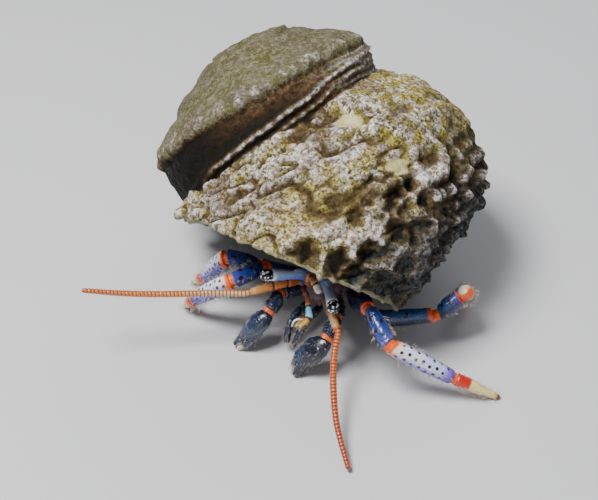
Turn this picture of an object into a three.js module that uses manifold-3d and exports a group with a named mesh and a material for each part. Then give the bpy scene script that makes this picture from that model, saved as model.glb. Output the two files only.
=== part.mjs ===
// Blue-legged hermit crab (Clibanarius tricolor) in an encrusted turban shell, life size.
// Millimetres, +Z up. The crab looks along -Y and +X is its left side.
// Places are given in the crab's own frame, whose origin is on the floor under its head.
// At the end the whole model moves so that its origin is the bottom centre of its box.

import * as THREE from 'three';
import { mergeVertices } from 'three/addons/utils/BufferGeometryUtils.js';
import Module from 'manifold-3d';

const wasm = await Module();
wasm.setup();

// ---------------------------------------------------------------- driving dimensions

const GAP = 0.3;                 // clear space between neighbouring pieces
const MIDLINE = 0.7;             // x of the crab's plane of symmetry
const SIDES = 8;                 // corners round a limb
const LEFT = { name: 'left', way: 1 };
const RIGHT = { name: 'right', way: -1 };

const SHELL = {
  apex: [-12.9, 10.18, 16.55],   // tip of the spire
  axis: [-0.652, 0.168, 0.7395], // from the base towards the apex
  radius: 14.4,                  // radius of the last whorl at the mouth
  growth: 1.42,                  // how much wider each turn is than the one before
  startAngle: -25.65,            // where the suture ends, degrees about the axis
  firstTurn: -3.05,
  neckTurn: -0.55,               // the hollow reaches back to here
  lastTurn: 0.05,                // the last whorl is swept to here, then cut by the mouth
  stepsPerTurn: 20,
  lap: 0.05,                     // turn by which lengths of whorl run into each other
  sectionSteps: 14,              // from the suture to the axis
  keeledUntil: -1,               // the spire's whorls have a keel
  roundFrom: -0.45,              // the last whorl is round
  wall: 1.0,
  pillar: 1.3,                   // radius of the solid pillar beside the hollow
};

// The worn, rounded tip of the spire.
const DOME = { radius: 4.7, height: 2.2, base: -2.4, skirt: 4.0, foot: -4.0, steps: 6, sides: 20 };

// How deep the suture lies below the apex at each of these turns; the mouth is at turn 0.
const SUTURE = {
  turns: [-4, -3, -2.4, -1.9, -1.4, -0.9, -0.41, -0.16, 0.09, 0.3],
  depths: [0.46, 0.92, 1.43, 1.93, 2.54, 4.16, 7.24, 8.86, 10.71, 12.33],
};

// Outline of a whorl from its suture to the axis at its base, in radii: [out, down].
const KEELED_WHORL = [
  [0.66, 0], [0.78, 0.06], [0.89, 0.15], [0.955, 0.26], [0.965, 0.36],
  [0.94, 0.50], [0.875, 0.66], [0.72, 0.82], [0.45, 0.93], [0, 0.96],
];
const ROUND_WHORL = [
  [0.67, 0], [0.85, 0.13], [0.965, 0.30], [1.03, 0.53], [1.04, 0.76],
  [0.97, 0.93], [0.80, 1.06], [0.52, 1.14], [0.22, 1.16], [0, 1.15],
];

// The plane of the shell's mouth faces forwards and down.
const MOUTH = { normal: [0, -0.698, -0.716], distance: -4.70 };

// Joints of a walking leg: hip, bend of the thigh, end of the merus, knee, end of the
// propodus, tip of the toe.
const WALKING_LEGS = [
  {
    name: 'leg2', side: LEFT,
    joints: [[2.75, 2.8, 3.4], [3.9, 1.7, 3.8], [6.4, -0.59, 6.0],
      [8.78, -1.7, 4.65], [12.84, 0.6, 1.95], [15.48, 2.41, 0.18]],
  },
  {
    name: 'leg2', side: RIGHT,
    joints: [[-0.35, 2.8, 3.5], [-1.6, 1.5, 4.1], [-3.05, -0.25, 5.2],
      [-3.84, -2.9, 5.3], [-7.4, -3.1, 2.05], [-8.84, -2.4, 0.18]],
  },
  {
    name: 'leg3', side: LEFT,
    joints: [[3.0, 3.9, 3.3], [4.8, 2.7, 2.4], [9.08, 4.5, 3.2],
      [10.32, 6.36, 4.6], [8.77, 8.96, 2.0], [7.69, 11.52, 0.18]],
  },
  {
    name: 'leg3', side: RIGHT,
    joints: [[-0.1, 4.2, 2.9], [-1.7, 3.1, 2.6], [-4.31, 0.83, 4.2],
      [-5.94, -0.81, 5.2], [-8.51, -0.36, 1.8], [-10.1, 0.3, 0.18]],
  },
];
// Half width (fore and aft) and half depth of each piece of a walking leg, end to end.
const LEG_PIECES = [
  { part: 'merus', finish: 'blue', stations: [[0.40, 0.42], [0.54, 0.66], [0.55, 0.72], [0.48, 0.56]] },
  { part: 'carpus', finish: 'blue', stations: [[0.44, 0.50], [0.60, 0.66], [0.62, 0.68], [0.56, 0.62]] },
  { part: 'propodus', finish: 'pale', stations: [[0.58, 0.62], [0.64, 0.70], [0.62, 0.66], [0.50, 0.52]] },
  { part: 'dactyl', finish: 'yellow', stations: [[0.47, 0.49], [0.46, 0.47], [0.36, 0.38], [0.22, 0.25]] },
];
const LEG_ACROSS = [0.2, 1, 0.35]; // the flat of a walking leg, on the left side

// Joints of a claw arm: hip, end of the merus, wrist, root of the fingers, finger tip.
const CLAW_ARMS = [
  {
    side: LEFT,
    joints: [[2.45, 1.6, 3.2], [3.63, -0.5, 3.7], [4.0, -2.2, 3.2], [3.1, -3.1, 1.9], [2.3, -3.9, 0.35]],
  },
  {
    side: RIGHT,
    joints: [[-0.45, 1.6, 3.2], [-1.37, -0.5, 3.7], [-1.1, -2.2, 3.2], [-1.9, -3.1, 1.9], [-2.8, -3.9, 0.35]],
  },
];
const CLAW = {
  across: [0.4, 0.3, 1],
  merus: [[0.38, 0.40], [0.50, 0.55], [0.50, 0.50]],
  carpus: [[0.48, 0.48], [0.62, 0.58], [0.55, 0.52]],
  palm: [[0.52, 0.56], [0.74, 0.98], [0.68, 0.86], [0.42, 0.48], [0.22, 0.26]],
  finger: [[0.30, 0.28], [0.30, 0.28], [0.18, 0.20]],
  fingerRoom: [[0.52, 0.56], [0.50, 0.54], [0.44, 0.48]],
  fingerSet: [0.42, 0.50, 0.24],   // how far inward the finger lies: root, middle, tip
  fixedTip: -0.2,                  // how far outward the fixed finger's tip lies
};

const EYES = [
  { side: LEFT, base: [1.73, 0.88, 5.25], tip: [3.8, -1.25, 5.54] },
  { side: RIGHT, base: [0.1, 0.6, 5.4], tip: [-1.22, -1.9, 6.39] },
];
const EYE = { stalkRadius: 0.40, waist: 0.30, corneaRadius: 0.43, corneaLength: 0.62 };

const ANTENNAE = [
  {
    side: LEFT,
    stem: [[2.1, 0.4, 4.2], [3.3, -0.75, 4.4], [4.5, -1.85, 4.3]],
    whip: [[5.55, -3.6, 3.6], [6.75, -5.5, 2.75], [8.45, -7.6, 1.65], [10.75, -9.63, 0.5]],
  },
  {
    side: RIGHT,
    stem: [[-0.55, 0.5, 4.6], [-1.2, -0.84, 4.85], [-2.2, -2.5, 4.85]],
    whip: [[-4.4, -4.4, 4.9], [-6.8, -6.45, 5.05], [-9.1, -8.5, 5.4], [-11.35, -10.47, 5.95]],
  },
];
const STEM_STATIONS = [[0.36, 0.34], [0.34, 0.32], [0.28, 0.27]];
const FEELER_STATIONS = [[0.26, 0.26], [0.26, 0.26]];

const ANTENNULES = [
  {
    side: LEFT,
    path: [[0.95, 0.3, 4.75], [0.8, 0.0, 5.4], [1.0, -0.15, 6.2], [1.77, -0.6, 6.22], [2.29, -0.88, 5.91]],
  },
  {
    side: RIGHT,
    path: [[0.3, 0.1, 4.5], [1.16, -0.6, 4.55], [1.76, -1.33, 4.4], [2.16, -1.89, 4.0], [1.95, -2.54, 3.65]],
  },
];

// Each on the left side, measured out from the midline.
const MOUTH_LIMB = {
  path: [[0.5, 0.9, 2.55], [0.55, -0.6, 2.5], [0.5, -1.6, 1.9], [0.35, -2.0, 1.1]],
  stations: [[0.27, 0.34], [0.27, 0.34], [0.26, 0.30], [0.25, 0.25]],
};
const SMALL_LEG = {              // fourth leg, kept inside the shell
  midline: 1.9,
  path: [[1.45, 4.75, 4.5], [2.35, 4.4, 5.2], [2.75, 3.4, 5.6]],
  stations: [[0.26, 0.32], [0.27, 0.34], [0.25, 0.28]],
};

const TRUNK = [
  {
    name: 'thorax', finish: 'flesh', steps: 6,
    path: [[MIDLINE, 0.9, 3.85], [1.9, 4.7, 4.45]],
    stations: [[0.85, 0.62], [1.05, 0.80], [1.05, 0.85], [0.85, 0.75]],
  },
  {
    name: 'shield', finish: 'blue', steps: 6,
    path: [[MIDLINE, 1.35, 5.75], [1.95, 5.0, 6.25]],
    stations: [[1.15, 0.38], [1.6, 0.58], [1.75, 0.62], [1.5, 0.5]],
  },
  {
    name: 'abdomen', finish: 'flesh', steps: 8,
    path: [[3.2, 6.0, 5.4], [4.1, 6.4, 6.8], [4.3, 6.9, 8.2], [3.9, 7.6, 9.4]],
    stations: [[0.85, 0.6], [1.3, 1.1], [1.35, 1.2], [0.9, 0.8]],
  },
  {
    name: 'tail-fan', finish: 'claw', steps: 3,
    path: [[3.3, 8.3, 10.5], [2.8, 8.7, 11.2]],
    stations: [[0.6, 0.3], [0.8, 0.3]],
  },
];

const FINISH = {
  shell: { color: 0x8f8b6d, roughness: 0.85 },
  blue: { color: 0x34509a, roughness: 0.35 },
  pale: { color: 0xa6c4d7, roughness: 0.35 },
  orange: { color: 0xd15e22, roughness: 0.4 },
  yellow: { color: 0xb6b496, roughness: 0.4 },
  eye: { color: 0x0b0b12, roughness: 0.1 },
  feeler: { color: 0xa26540, roughness: 0.4 },
  flesh: { color: 0x6a6f86, roughness: 0.5 },
  claw: { color: 0x1b2440, roughness: 0.45 },
};

// ---------------------------------------------------------------- geometry helpers

const vec = (p) => new THREE.Vector3(...p);
const mirrored = (p, side) => [side.way * p[0], p[1], p[2]];

function signedVolume(positions, index) {
  const corner = (i) => new THREE.Vector3().fromArray(positions, 3 * index[i]);
  let volume = 0;
  for (let i = 0; i < index.length; i += 3) {
    volume += corner(i).dot(corner(i + 1).cross(corner(i + 2))) / 6;
  }
  return volume;
}

// A closed mesh whose faces point out, whichever way round they were listed.
function closedGeometry(positions, index) {
  if (signedVolume(positions, index) < 0) index.reverse();
  const geometry = new THREE.BufferGeometry();
  geometry.setAttribute('position', new THREE.Float32BufferAttribute(positions, 3));
  geometry.setIndex(index);
  return geometry;
}

// A closed mesh through rings of equally many points, with a fan over each end.
function loft(rings) {
  const count = rings[0].length;
  const last = (rings.length - 1) * count;
  const positions = rings.flat().flatMap((p) => p.toArray());
  const index = [];
  for (let row = 0; row < last; row += count) {
    for (let j = 0; j < count; j += 1) {
      const k = (j + 1) % count;
      index.push(row + j, row + k, row + count + k);
      index.push(row + j, row + count + k, row + count + j);
    }
  }
  for (const row of [0, last]) {
    const ring = rings[row / count];
    const middle = positions.length / 3;
    positions.push(...ring.reduce((sum, p) => sum.add(p), new THREE.Vector3()).divideScalar(count).toArray());
    for (let j = 0; j < count; j += 1) {
      const [here, next] = [row + j, row + ((j + 1) % count)];
      index.push(...(row === 0 ? [middle, next, here] : [middle, here, next]));
    }
  }
  return closedGeometry(positions, index);
}

function toSolid(source) {
  const geometry = source.clone();
  geometry.deleteAttribute('normal');
  geometry.deleteAttribute('uv');
  const merged = mergeVertices(geometry, 1e-4);
  return new wasm.Manifold(new wasm.Mesh({
    numProp: 3,
    vertProperties: Float32Array.from(merged.attributes.position.array),
    triVerts: Uint32Array.from(merged.index.array),
  }));
}

function toGeometry(solid) {
  const mesh = solid.getMesh();
  const geometry = new THREE.BufferGeometry();
  geometry.setAttribute('position', new THREE.BufferAttribute(mesh.vertProperties, 3));
  geometry.setIndex(new THREE.BufferAttribute(mesh.triVerts, 1));
  return geometry;
}

// Keeps what lies in front of a plane, or behind it, with half a gap left at the plane.
function trimFront(solid, { point, normal }) {
  return solid.trimByPlane(normal.toArray(), normal.dot(point) + GAP / 2);
}

function trimBehind(solid, { point, normal }) {
  return trimFront(solid, { point, normal: normal.clone().negate() });
}

const aboveFloor = (solid) => solid.trimByPlane([0, 0, 1], 0);

// The main body of a solid, without slivers left where joined pieces touch.
const largest = (solid) => solid.decompose().sort((a, b) => b.volume() - a.volume())[0];

// A round end of a bar: how far each ring lies beyond it, and its size, in end radii.
const ROUND_END = [[0.65, 0.8], [1, 0.35]];

// A bar along a curve. `stations` are its half width and half depth at equal steps, with the
// width along `across`. An end is round, or flat and lengthened by `reach`.
function bar(curve, stations, options = {}) {
  const { across = [0, 0, 1], steps = 6, reach = [0, 0], round = [true, true] } = options;
  const profile = new THREE.CatmullRomCurve3(stations.map(([w, d], i) => new THREE.Vector3(w, d, i)));
  const ring = (u, shift, scale) => {
    const size = profile.getPoint(u).multiplyScalar(scale);
    const tangent = curve.getTangentAt(u);
    const centre = curve.getPointAt(u).addScaledVector(tangent, shift);
    const wide = vec(across).addScaledVector(tangent, -vec(across).dot(tangent)).normalize();
    const deep = new THREE.Vector3().crossVectors(tangent, wide);
    return Array.from({ length: SIDES }, (_, j) => {
      const angle = (2 * Math.PI * j) / SIDES;
      return centre.clone()
        .addScaledVector(wide, size.x * Math.cos(angle))
        .addScaledVector(deep, size.y * Math.sin(angle));
    });
  };
  const end = (u, way) => {
    if (!round[u]) return reach[u] > 0 ? [ring(u, way * reach[u], 1)] : [];
    const size = profile.getPoint(u);
    const radius = Math.min(size.x, size.y);
    return ROUND_END.map(([out, scale]) => ring(u, way * out * radius, scale));
  };
  const middle = Array.from({ length: steps + 1 }, (_, i) => ring(i / steps, 0, 1));
  return loft([...end(0, -1).reverse(), ...middle, ...end(1, 1)]);
}

const straight = (a, b) => new THREE.LineCurve3(vec(a), vec(b));
const smooth = (points) => new THREE.CatmullRomCurve3(points.map(vec), false, 'centripetal');

const model = new THREE.Group();

function addPiece(name, shape, finish) {
  const geometry = shape.isBufferGeometry ? shape : toGeometry(shape);
  const mesh = new THREE.Mesh(geometry, new THREE.MeshStandardMaterial({ ...FINISH[finish], metalness: 0 }));
  mesh.name = name;
  model.add(mesh);
}

// ---------------------------------------------------------------- the shell

const sutureCurve = new THREE.CubicInterpolant(SUTURE.turns, SUTURE.depths, 1);
const sutureHeight = (turn) => -sutureCurve.evaluate(turn)[0];
const whorlRadius = (turn) => SHELL.radius * SHELL.growth ** turn;

// The whorl's section at one turn, from the suture to the axis: [distance from axis, height].
function whorlSection(turn) {
  const rounded = THREE.MathUtils.smoothstep(turn, SHELL.keeledUntil, SHELL.roundFrom);
  const flat = ([out, down]) => new THREE.Vector3(out, down, 0);
  const outline = KEELED_WHORL.map((keeled, i) => flat(keeled).lerp(flat(ROUND_WHORL[i]), rounded));
  const size = whorlRadius(turn);
  return new THREE.CatmullRomCurve3(outline)
    .getSpacedPoints(SHELL.sectionSteps)
    .map((p) => [Math.max(p.x, 0) * size, sutureHeight(turn) - p.y * size]);
}

function placeOnTurn(turn, [out, height]) {
  const angle = THREE.MathUtils.degToRad(SHELL.startAngle - 360 * turn);
  return new THREE.Vector3(out * Math.cos(angle), out * Math.sin(angle), height);
}

// Part of a turn of solid shell, from the axis out to the whorl's surface.
function whorlWedge(from, to) {
  const steps = Math.round(SHELL.stepsPerTurn * (to - from));
  const count = SHELL.sectionSteps;
  const positions = [];
  for (let i = 0; i <= steps; i += 1) {
    const turn = THREE.MathUtils.lerp(from, to, i / steps);
    whorlSection(turn).slice(0, count).forEach((p) => positions.push(...placeOnTurn(turn, p).toArray()));
  }
  const crown = positions.length / 3;
  const [middle, foot] = [crown + 1, crown + 2];
  const top = sutureHeight(from);
  const bottom = whorlSection(to)[count][1];
  positions.push(0, 0, top, 0, 0, (top + bottom) / 2, 0, 0, bottom);
  const index = [];
  for (let here = 0; here < steps * count; here += count) {
    const next = here + count;
    index.push(crown, next, here);
    index.push(foot, next - 1, next + count - 1);
    for (let j = 0; j + 1 < count; j += 1) {
      index.push(here + j, next + j, next + j + 1);
      index.push(here + j, next + j + 1, here + j + 1);
    }
  }
  for (const row of [0, steps * count]) {
    const rim = [crown, ...Array.from({ length: count }, (_, j) => row + j), foot];
    for (let j = 0; j + 1 < rim.length; j += 1) {
      index.push(...(row === 0 ? [middle, rim[j], rim[j + 1]] : [middle, rim[j + 1], rim[j]]));
    }
  }
  return closedGeometry(positions, index);
}

// The hollow of the last whorl: its section drawn in by the wall, and closed beside the
// pillar. Where it reaches into the whorl above, that whorl is joined on again afterwards.
function hollow(from, to) {
  const steps = Math.round(SHELL.stepsPerTurn * (to - from));
  const rings = [];
  for (let i = 0; i <= steps; i += 1) {
    const turn = THREE.MathUtils.lerp(from, to, i / steps);
    const section = whorlSection(turn);
    const inner = [];
    for (let j = 1; j < section.length - 1; j += 1) {
      const [before, after] = [section[j - 1], section[j + 1]];
      const along = new THREE.Vector2(after[0] - before[0], after[1] - before[1]).setLength(SHELL.wall);
      inner.push([Math.max(section[j][0] + along.y, SHELL.pillar), section[j][1] - along.x]);
    }
    inner.push([SHELL.pillar, inner[0][1]]);
    rings.push(inner.map((p) => placeOnTurn(turn, p)));
  }
  return loft(rings);
}

function domeGeometry() {
  const rim = Array.from({ length: DOME.steps }, (_, i) => {
    const angle = (Math.PI / 2) * (i / DOME.steps);
    return new THREE.Vector2(DOME.radius * Math.cos(angle), DOME.base + DOME.height * Math.sin(angle));
  });
  const top = new THREE.Vector2(0, DOME.base + DOME.height);
  const profile = [new THREE.Vector2(0, DOME.foot), new THREE.Vector2(DOME.skirt, DOME.foot), ...rim, top];
  return new THREE.LatheGeometry(profile, DOME.sides).rotateX(Math.PI / 2);
}

function buildShell() {
  const up = vec(SHELL.axis).normalize();
  const front = new THREE.Vector3(0, -1, 0).projectOnPlane(up).normalize();
  const pose = new THREE.Matrix4()
    .makeBasis(front, new THREE.Vector3().crossVectors(up, front), up)
    .setPosition(vec(SHELL.apex));
  const place = (geometry) => toSolid(geometry.applyMatrix4(pose));
  const { firstTurn, neckTurn, lastTurn, lap } = SHELL;
  const whorls = (from, to, wedges) => {
    const stride = (to - from) / wedges;
    const starts = Array.from({ length: wedges }, (_, i) => from + i * stride);
    const solids = starts.map((turn) => place(whorlWedge(turn, turn + stride + lap)));
    return solids.reduce((joined, solid) => joined.add(solid));
  };
  const lastWhorl = whorls(neckTurn, lastTurn, 3)
    .subtract(place(hollow(neckTurn - lap, lastTurn + 2 * lap)))
    .trimByPlane(vec(MOUTH.normal).negate().toArray(), -MOUTH.distance);
  const spire = whorls(firstTurn, neckTurn, 5).add(place(domeGeometry()));
  return largest(aboveFloor(lastWhorl.add(spire)));
}

addPiece('shell', buildShell(), 'shell');

// ---------------------------------------------------------------- limbs

// At each inner joint, the plane that halves the bend, facing towards the tip.
function bendPlanes(points) {
  return points.slice(1, -1).map((point, i) => {
    const before = vec(point).sub(vec(points[i])).normalize();
    const after = vec(points[i + 2]).sub(vec(point)).normalize();
    return { point: vec(point), normal: before.add(after).normalize() };
  });
}

const OVERLAP = 0.5;             // how far a piece runs past a joint before it is trimmed

function buildWalkingLeg({ name, side, joints }) {
  const ends = joints.slice(1);
  const planes = bendPlanes(ends);
  LEG_PIECES.forEach(({ part, finish, stations }, i) => {
    const isThigh = i === 0;
    const isToe = i === LEG_PIECES.length - 1;
    const curve = isThigh ? smooth(joints.slice(0, 3)) : straight(ends[i], ends[i + 1]);
    let solid = toSolid(bar(curve, stations, {
      across: mirrored(LEG_ACROSS, side),
      reach: [OVERLAP, OVERLAP],
      round: [isThigh, isToe],
      steps: 5,
    }));
    if (!isThigh) solid = trimFront(solid, planes[i - 1]);
    if (!isToe) solid = trimBehind(solid, planes[i]);
    addPiece(`${name}-${side.name}-${part}`, aboveFloor(solid), finish);
  });
}

// The palm and the fixed finger are one piece; the movable finger lies on the inner side.
function buildClawArm({ side, joints }) {
  const [hip, elbow, wrist, knuckle, tip] = joints;
  const [elbowPlane, wristPlane] = bendPlanes(joints);
  const across = mirrored(CLAW.across, side);
  const reach = [OVERLAP, OVERLAP];
  const add = (part, solid) => addPiece(`claw-${side.name}-${part}`, aboveFloor(solid), 'claw');

  const merus = toSolid(bar(straight(hip, elbow), CLAW.merus, { across, reach, round: [true, false] }));
  add('merus', trimBehind(merus, elbowPlane));
  const carpus = toSolid(bar(straight(elbow, wrist), CLAW.carpus, { across, reach, round: [false, false] }));
  add('carpus', trimBehind(trimFront(carpus, elbowPlane), wristPlane));

  const pointing = vec(tip).sub(vec(knuckle)).normalize();
  const inward = new THREE.Vector3(-side.way, 0, 0).projectOnPlane(pointing).normalize();
  const inset = (p, amount) => vec(p).addScaledVector(inward, amount).toArray();
  const halfway = vec(knuckle).lerp(vec(tip), 0.5).toArray();
  const fingerPath = smooth([knuckle, halfway, tip].map((p, i) => inset(p, CLAW.fingerSet[i])));
  const palmPath = smooth([wrist, knuckle, inset(tip, CLAW.fixedTip)]);
  const palm = toSolid(bar(palmPath, CLAW.palm, { across, reach, steps: 6, round: [false, true] }));
  const room = toSolid(bar(fingerPath, CLAW.fingerRoom, { across, steps: 5 }));
  add('palm', largest(trimFront(palm, wristPlane).subtract(room)));
  add('finger', toSolid(bar(fingerPath, CLAW.finger, { across, steps: 4 })));
}

WALKING_LEGS.forEach(buildWalkingLeg);
CLAW_ARMS.forEach(buildClawArm);

// ---------------------------------------------------------------- head and feelers

function buildEye({ side, base, tip }) {
  const along = vec(tip).sub(vec(base)).normalize();
  const at = (distance) => vec(tip).addScaledVector(along, distance).toArray();
  const { stalkRadius, waist, corneaRadius, corneaLength } = EYE;
  const stalkSizes = [stalkRadius, waist, waist, stalkRadius].map((r) => [r, r]);
  const corneaSizes = [corneaRadius, corneaRadius].map((r) => [r, r]);
  const stalk = bar(straight(base, at(-GAP / 2)), stalkSizes, { round: [true, false] });
  addPiece(`eyestalk-${side.name}`, stalk, 'pale');
  const corneaPath = straight(at(GAP / 2), at(GAP / 2 + corneaLength - corneaRadius));
  addPiece(`eye-${side.name}`, bar(corneaPath, corneaSizes, { steps: 2, round: [false, true] }), 'eye');
}

function buildAntenna({ side, stem, whip }) {
  const stemCurve = smooth(stem);
  addPiece(`antenna-stem-${side.name}`, bar(stemCurve, STEM_STATIONS), 'orange');
  const [stemTip] = STEM_STATIONS.at(-1);
  const start = stemCurve.getPoint(1).addScaledVector(stemCurve.getTangent(1), stemTip + GAP);
  const path = smooth([start.toArray(), ...whip]);
  const whipBar = bar(path, FEELER_STATIONS, { steps: Math.round(path.getLength()), round: [false, true] });
  addPiece(`antenna-${side.name}`, whipBar, 'feeler');
}

EYES.forEach(buildEye);
ANTENNAE.forEach(buildAntenna);
for (const { side, path } of ANTENNULES) {
  addPiece(`antennule-${side.name}`, bar(smooth(path), FEELER_STATIONS, { steps: 9 }), 'feeler');
}

// ---------------------------------------------------------------- trunk and small limbs

const fromMidline = (path, middle, side) => path.map(([out, y, z]) => [middle + side.way * out, y, z]);

for (const side of [LEFT, RIGHT]) {
  const palp = smooth(fromMidline(MOUTH_LIMB.path, MIDLINE, side));
  const palpBar = bar(palp, MOUTH_LIMB.stations, { across: [1, 0, 0] });
  addPiece(`mouth-limb-${side.name}`, palpBar, 'claw');
  const leg = smooth(fromMidline(SMALL_LEG.path, SMALL_LEG.midline, side));
  addPiece(`leg4-${side.name}`, bar(leg, SMALL_LEG.stations), 'claw');
}
for (const { name, finish, path, stations, steps } of TRUNK) {
  addPiece(name, bar(smooth(path), stations, { across: [1, 0, 0], steps }), finish);
}

// ---------------------------------------------------------------- frame

const box = new THREE.Box3().setFromObject(model);
const centre = box.getCenter(new THREE.Vector3());
model.position.set(-centre.x, -centre.y, -box.min.z);

export default model;
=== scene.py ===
"""A blue-legged hermit crab walking out of an encrusted turban shell: the looks round the CAD frame."""

from contextlib import contextmanager
import math

import bmesh
import bpy
import numpy as np
from mathutils import Matrix, Vector


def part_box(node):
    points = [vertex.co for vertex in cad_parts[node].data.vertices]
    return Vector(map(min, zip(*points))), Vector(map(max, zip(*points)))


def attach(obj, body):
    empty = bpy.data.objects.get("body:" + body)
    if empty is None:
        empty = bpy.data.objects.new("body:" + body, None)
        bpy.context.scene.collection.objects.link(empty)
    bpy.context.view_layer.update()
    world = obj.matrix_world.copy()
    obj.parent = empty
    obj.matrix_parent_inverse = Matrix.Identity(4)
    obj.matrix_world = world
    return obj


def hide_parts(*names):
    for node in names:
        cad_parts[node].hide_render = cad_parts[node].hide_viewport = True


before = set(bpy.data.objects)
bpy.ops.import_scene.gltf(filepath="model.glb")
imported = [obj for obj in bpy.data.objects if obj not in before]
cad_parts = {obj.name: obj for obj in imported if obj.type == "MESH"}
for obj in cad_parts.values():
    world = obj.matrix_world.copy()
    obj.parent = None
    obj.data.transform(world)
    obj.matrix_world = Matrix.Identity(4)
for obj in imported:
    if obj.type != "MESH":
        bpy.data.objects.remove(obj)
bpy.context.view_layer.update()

# ------------------------------------------------------------------ driving dimensions (mm)

MM = 0.001
MIDLINE = 0.7                       # x of the crab's plane of symmetry, in the crab's own frame
SHELL_LOW = np.array([-16.113, -4.548, 0.0])   # the CAD shell's lowest corner in the crab's frame
GAP = 0.3                           # between neighbouring plates
RIM_REACH = 1.6                     # how far from a bend a plate is slanted to meet it
RIM_DROP = 0.22                     # how much a plate narrows at its rim
CAP_RINGS = 7                       # on a round end
CAP_REACH = 0.998                   # of the way to its tip, which stays open enough for a face
FOLD_REACH = 0.34                   # of the soft fold through a joint, to either side
ALONG_X, ALONG_Y, ALONG_Z = (1, 0, 0), (0, 1, 0), (0, 0, 1)
LEFT, RIGHT = ("left", 1), ("right", -1)

# The shell coils round an axis. A turn is 0 at the mouth, and falls towards the tip.
APEX = np.array([-12.9, 10.18, 16.55])
AXIS = np.array([-0.652, 0.168, 0.7395])
RADIUS = 14.4                       # of the last whorl at the mouth
GROWTH = 1.42                       # per turn
START_ANGLE = -25.65                # degrees about the axis
FIRST_TURN = -3.3                   # hidden inside the spire's dome
NECK_TURN = -0.7                    # where the last whorl, which is hollow, begins
LAST_TURN = 0.10
TURN_STEP = 0.0125
KEELED_UNTIL = -1.0                 # whorls have a keel up to this turn,
ROUND_FROM = -0.45                  # and are round from this one
WALL_DEEP = 1.1                     # thickness of the last whorl deep inside,
WALL_LIP = 0.6                      # and at the lip
WALL_THINS = (-0.35, 0.0)           # turns between which it goes from one to the other
PILLAR = 1.3                        # radius of what stays solid round the axis
NEAR_AXIS = 0.03                    # solids stay this far from the axis, to be valid for cutting
DOME = {"radius": 4.7, "height": 2.2, "base": -2.4, "foot": -4.0, "foot_radius": 0.85 * 4.7,
        "hole": 0.02, "rings": 12, "sides": 48}
MOUTH_NORMAL = np.array([0.0, -0.698, -0.716])
MOUTH_DISTANCE = -4.70              # along that normal, of the plane of the mouth
CUTTER_SIZE = 60.0
SHELL_VOXEL = 0.16
FAR = 1e9                           # more than any distance
POINTS_AT_ONCE = 20000              # when points are placed on the coil
PAST_LIP = 0.03                     # turns by which a point of the lip may lie beyond LAST_TURN
INSIDE_FROM = -0.5                  # height above the last whorl, below which a face is inside it
KEEL_SPAN = 2.45                    # where the keel lies on a whorl's outline
BAND_TURNS = [-3.3, -1.5, -1.4, -1.3, -1.2, -1.1, -1.0, -0.5]
BAND_SPANS = [4.4, 3.5, 3.6, 4.0, 4.55, 5.0, 5.6, 5.6]      # where the dark band under the keel ends
# Places on the spire worn lower than the rest: where, how wide and how deep.
WORN_AWAY = [(np.array([-10.9, 10.3, 17.5]), 4.0, 0.45), (np.array([-13.3, 6.0, 16.2]), 6.5, 0.55)]
# The worn suture on the spire's top, a spiral through one point.
COIL = {"through": np.array([-9.0, 11.2, 18.0]), "growth": 1.8, "deep": 0.34, "wide": 0.15}
NODULES_PER_TURN = 72
KNOBS_PER_TURN = 31                 # on the keel
BEADS_PER_TURN = 70                 # on the ridges under it
CORD_SPACING = 0.108                # radii from cord to cord
ALONG_PER_RADIUS = 2 * math.pi * 0.9 / math.log(GROWTH)   # length along a whorl, per radius reached
WORN_PATCHES = [(-0.27, 0.21, 1.25), (-0.275, 0.57, 0.9)]   # turn, distance below the suture, size in mm

SUTURE_TURNS = [-4, -3, -2.4, -1.9, -1.4, -0.9, -0.41, -0.16, 0.09, 0.3]
SUTURE_DEPTHS = [0.46, 0.92, 1.43, 1.93, 2.54, 4.16, 7.24, 8.86, 10.71, 12.33]
KEELED_WHORL = [
    (0.66, 0), (0.78, 0.06), (0.89, 0.15), (0.955, 0.26), (0.965, 0.36),
    (0.94, 0.50), (0.875, 0.66), (0.72, 0.82), (0.45, 0.93), (0, 0.96),
]
ROUND_WHORL = [
    (0.67, 0), (0.85, 0.13), (0.965, 0.30), (1.03, 0.53), (1.04, 0.76),
    (0.97, 0.93), (0.80, 1.06), (0.52, 1.14), (0.22, 1.16), (0, 1.15),
]

# Joints of a walking leg: hip, thigh bend, merus end, knee, propodus end, toe tip.
WALKING_LEGS = [
    ("leg2", LEFT, [(2.75, 2.8, 3.4), (3.9, 1.7, 3.8), (6.4, -0.59, 6.0),
                    (8.78, -1.7, 4.65), (12.84, 0.6, 1.95), (15.48, 2.41, 0.18)]),
    ("leg2", RIGHT, [(-0.35, 2.8, 3.5), (-1.6, 1.5, 4.1), (-3.05, -0.25, 5.2),
                     (-3.84, -2.9, 5.3), (-7.4, -3.1, 2.05), (-8.84, -2.4, 0.18)]),
    ("leg3", LEFT, [(3.0, 3.9, 3.3), (4.8, 2.7, 2.4), (9.08, 4.5, 3.2),
                    (10.32, 6.36, 4.6), (8.77, 8.96, 2.0), (7.69, 11.52, 0.18)]),
    ("leg3", RIGHT, [(-0.1, 4.2, 2.9), (-1.7, 3.1, 2.6), (-4.31, 0.83, 4.2),
                     (-5.94, -0.81, 5.2), (-8.51, -0.36, 1.8), (-10.1, 0.3, 0.18)]),
]
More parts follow.
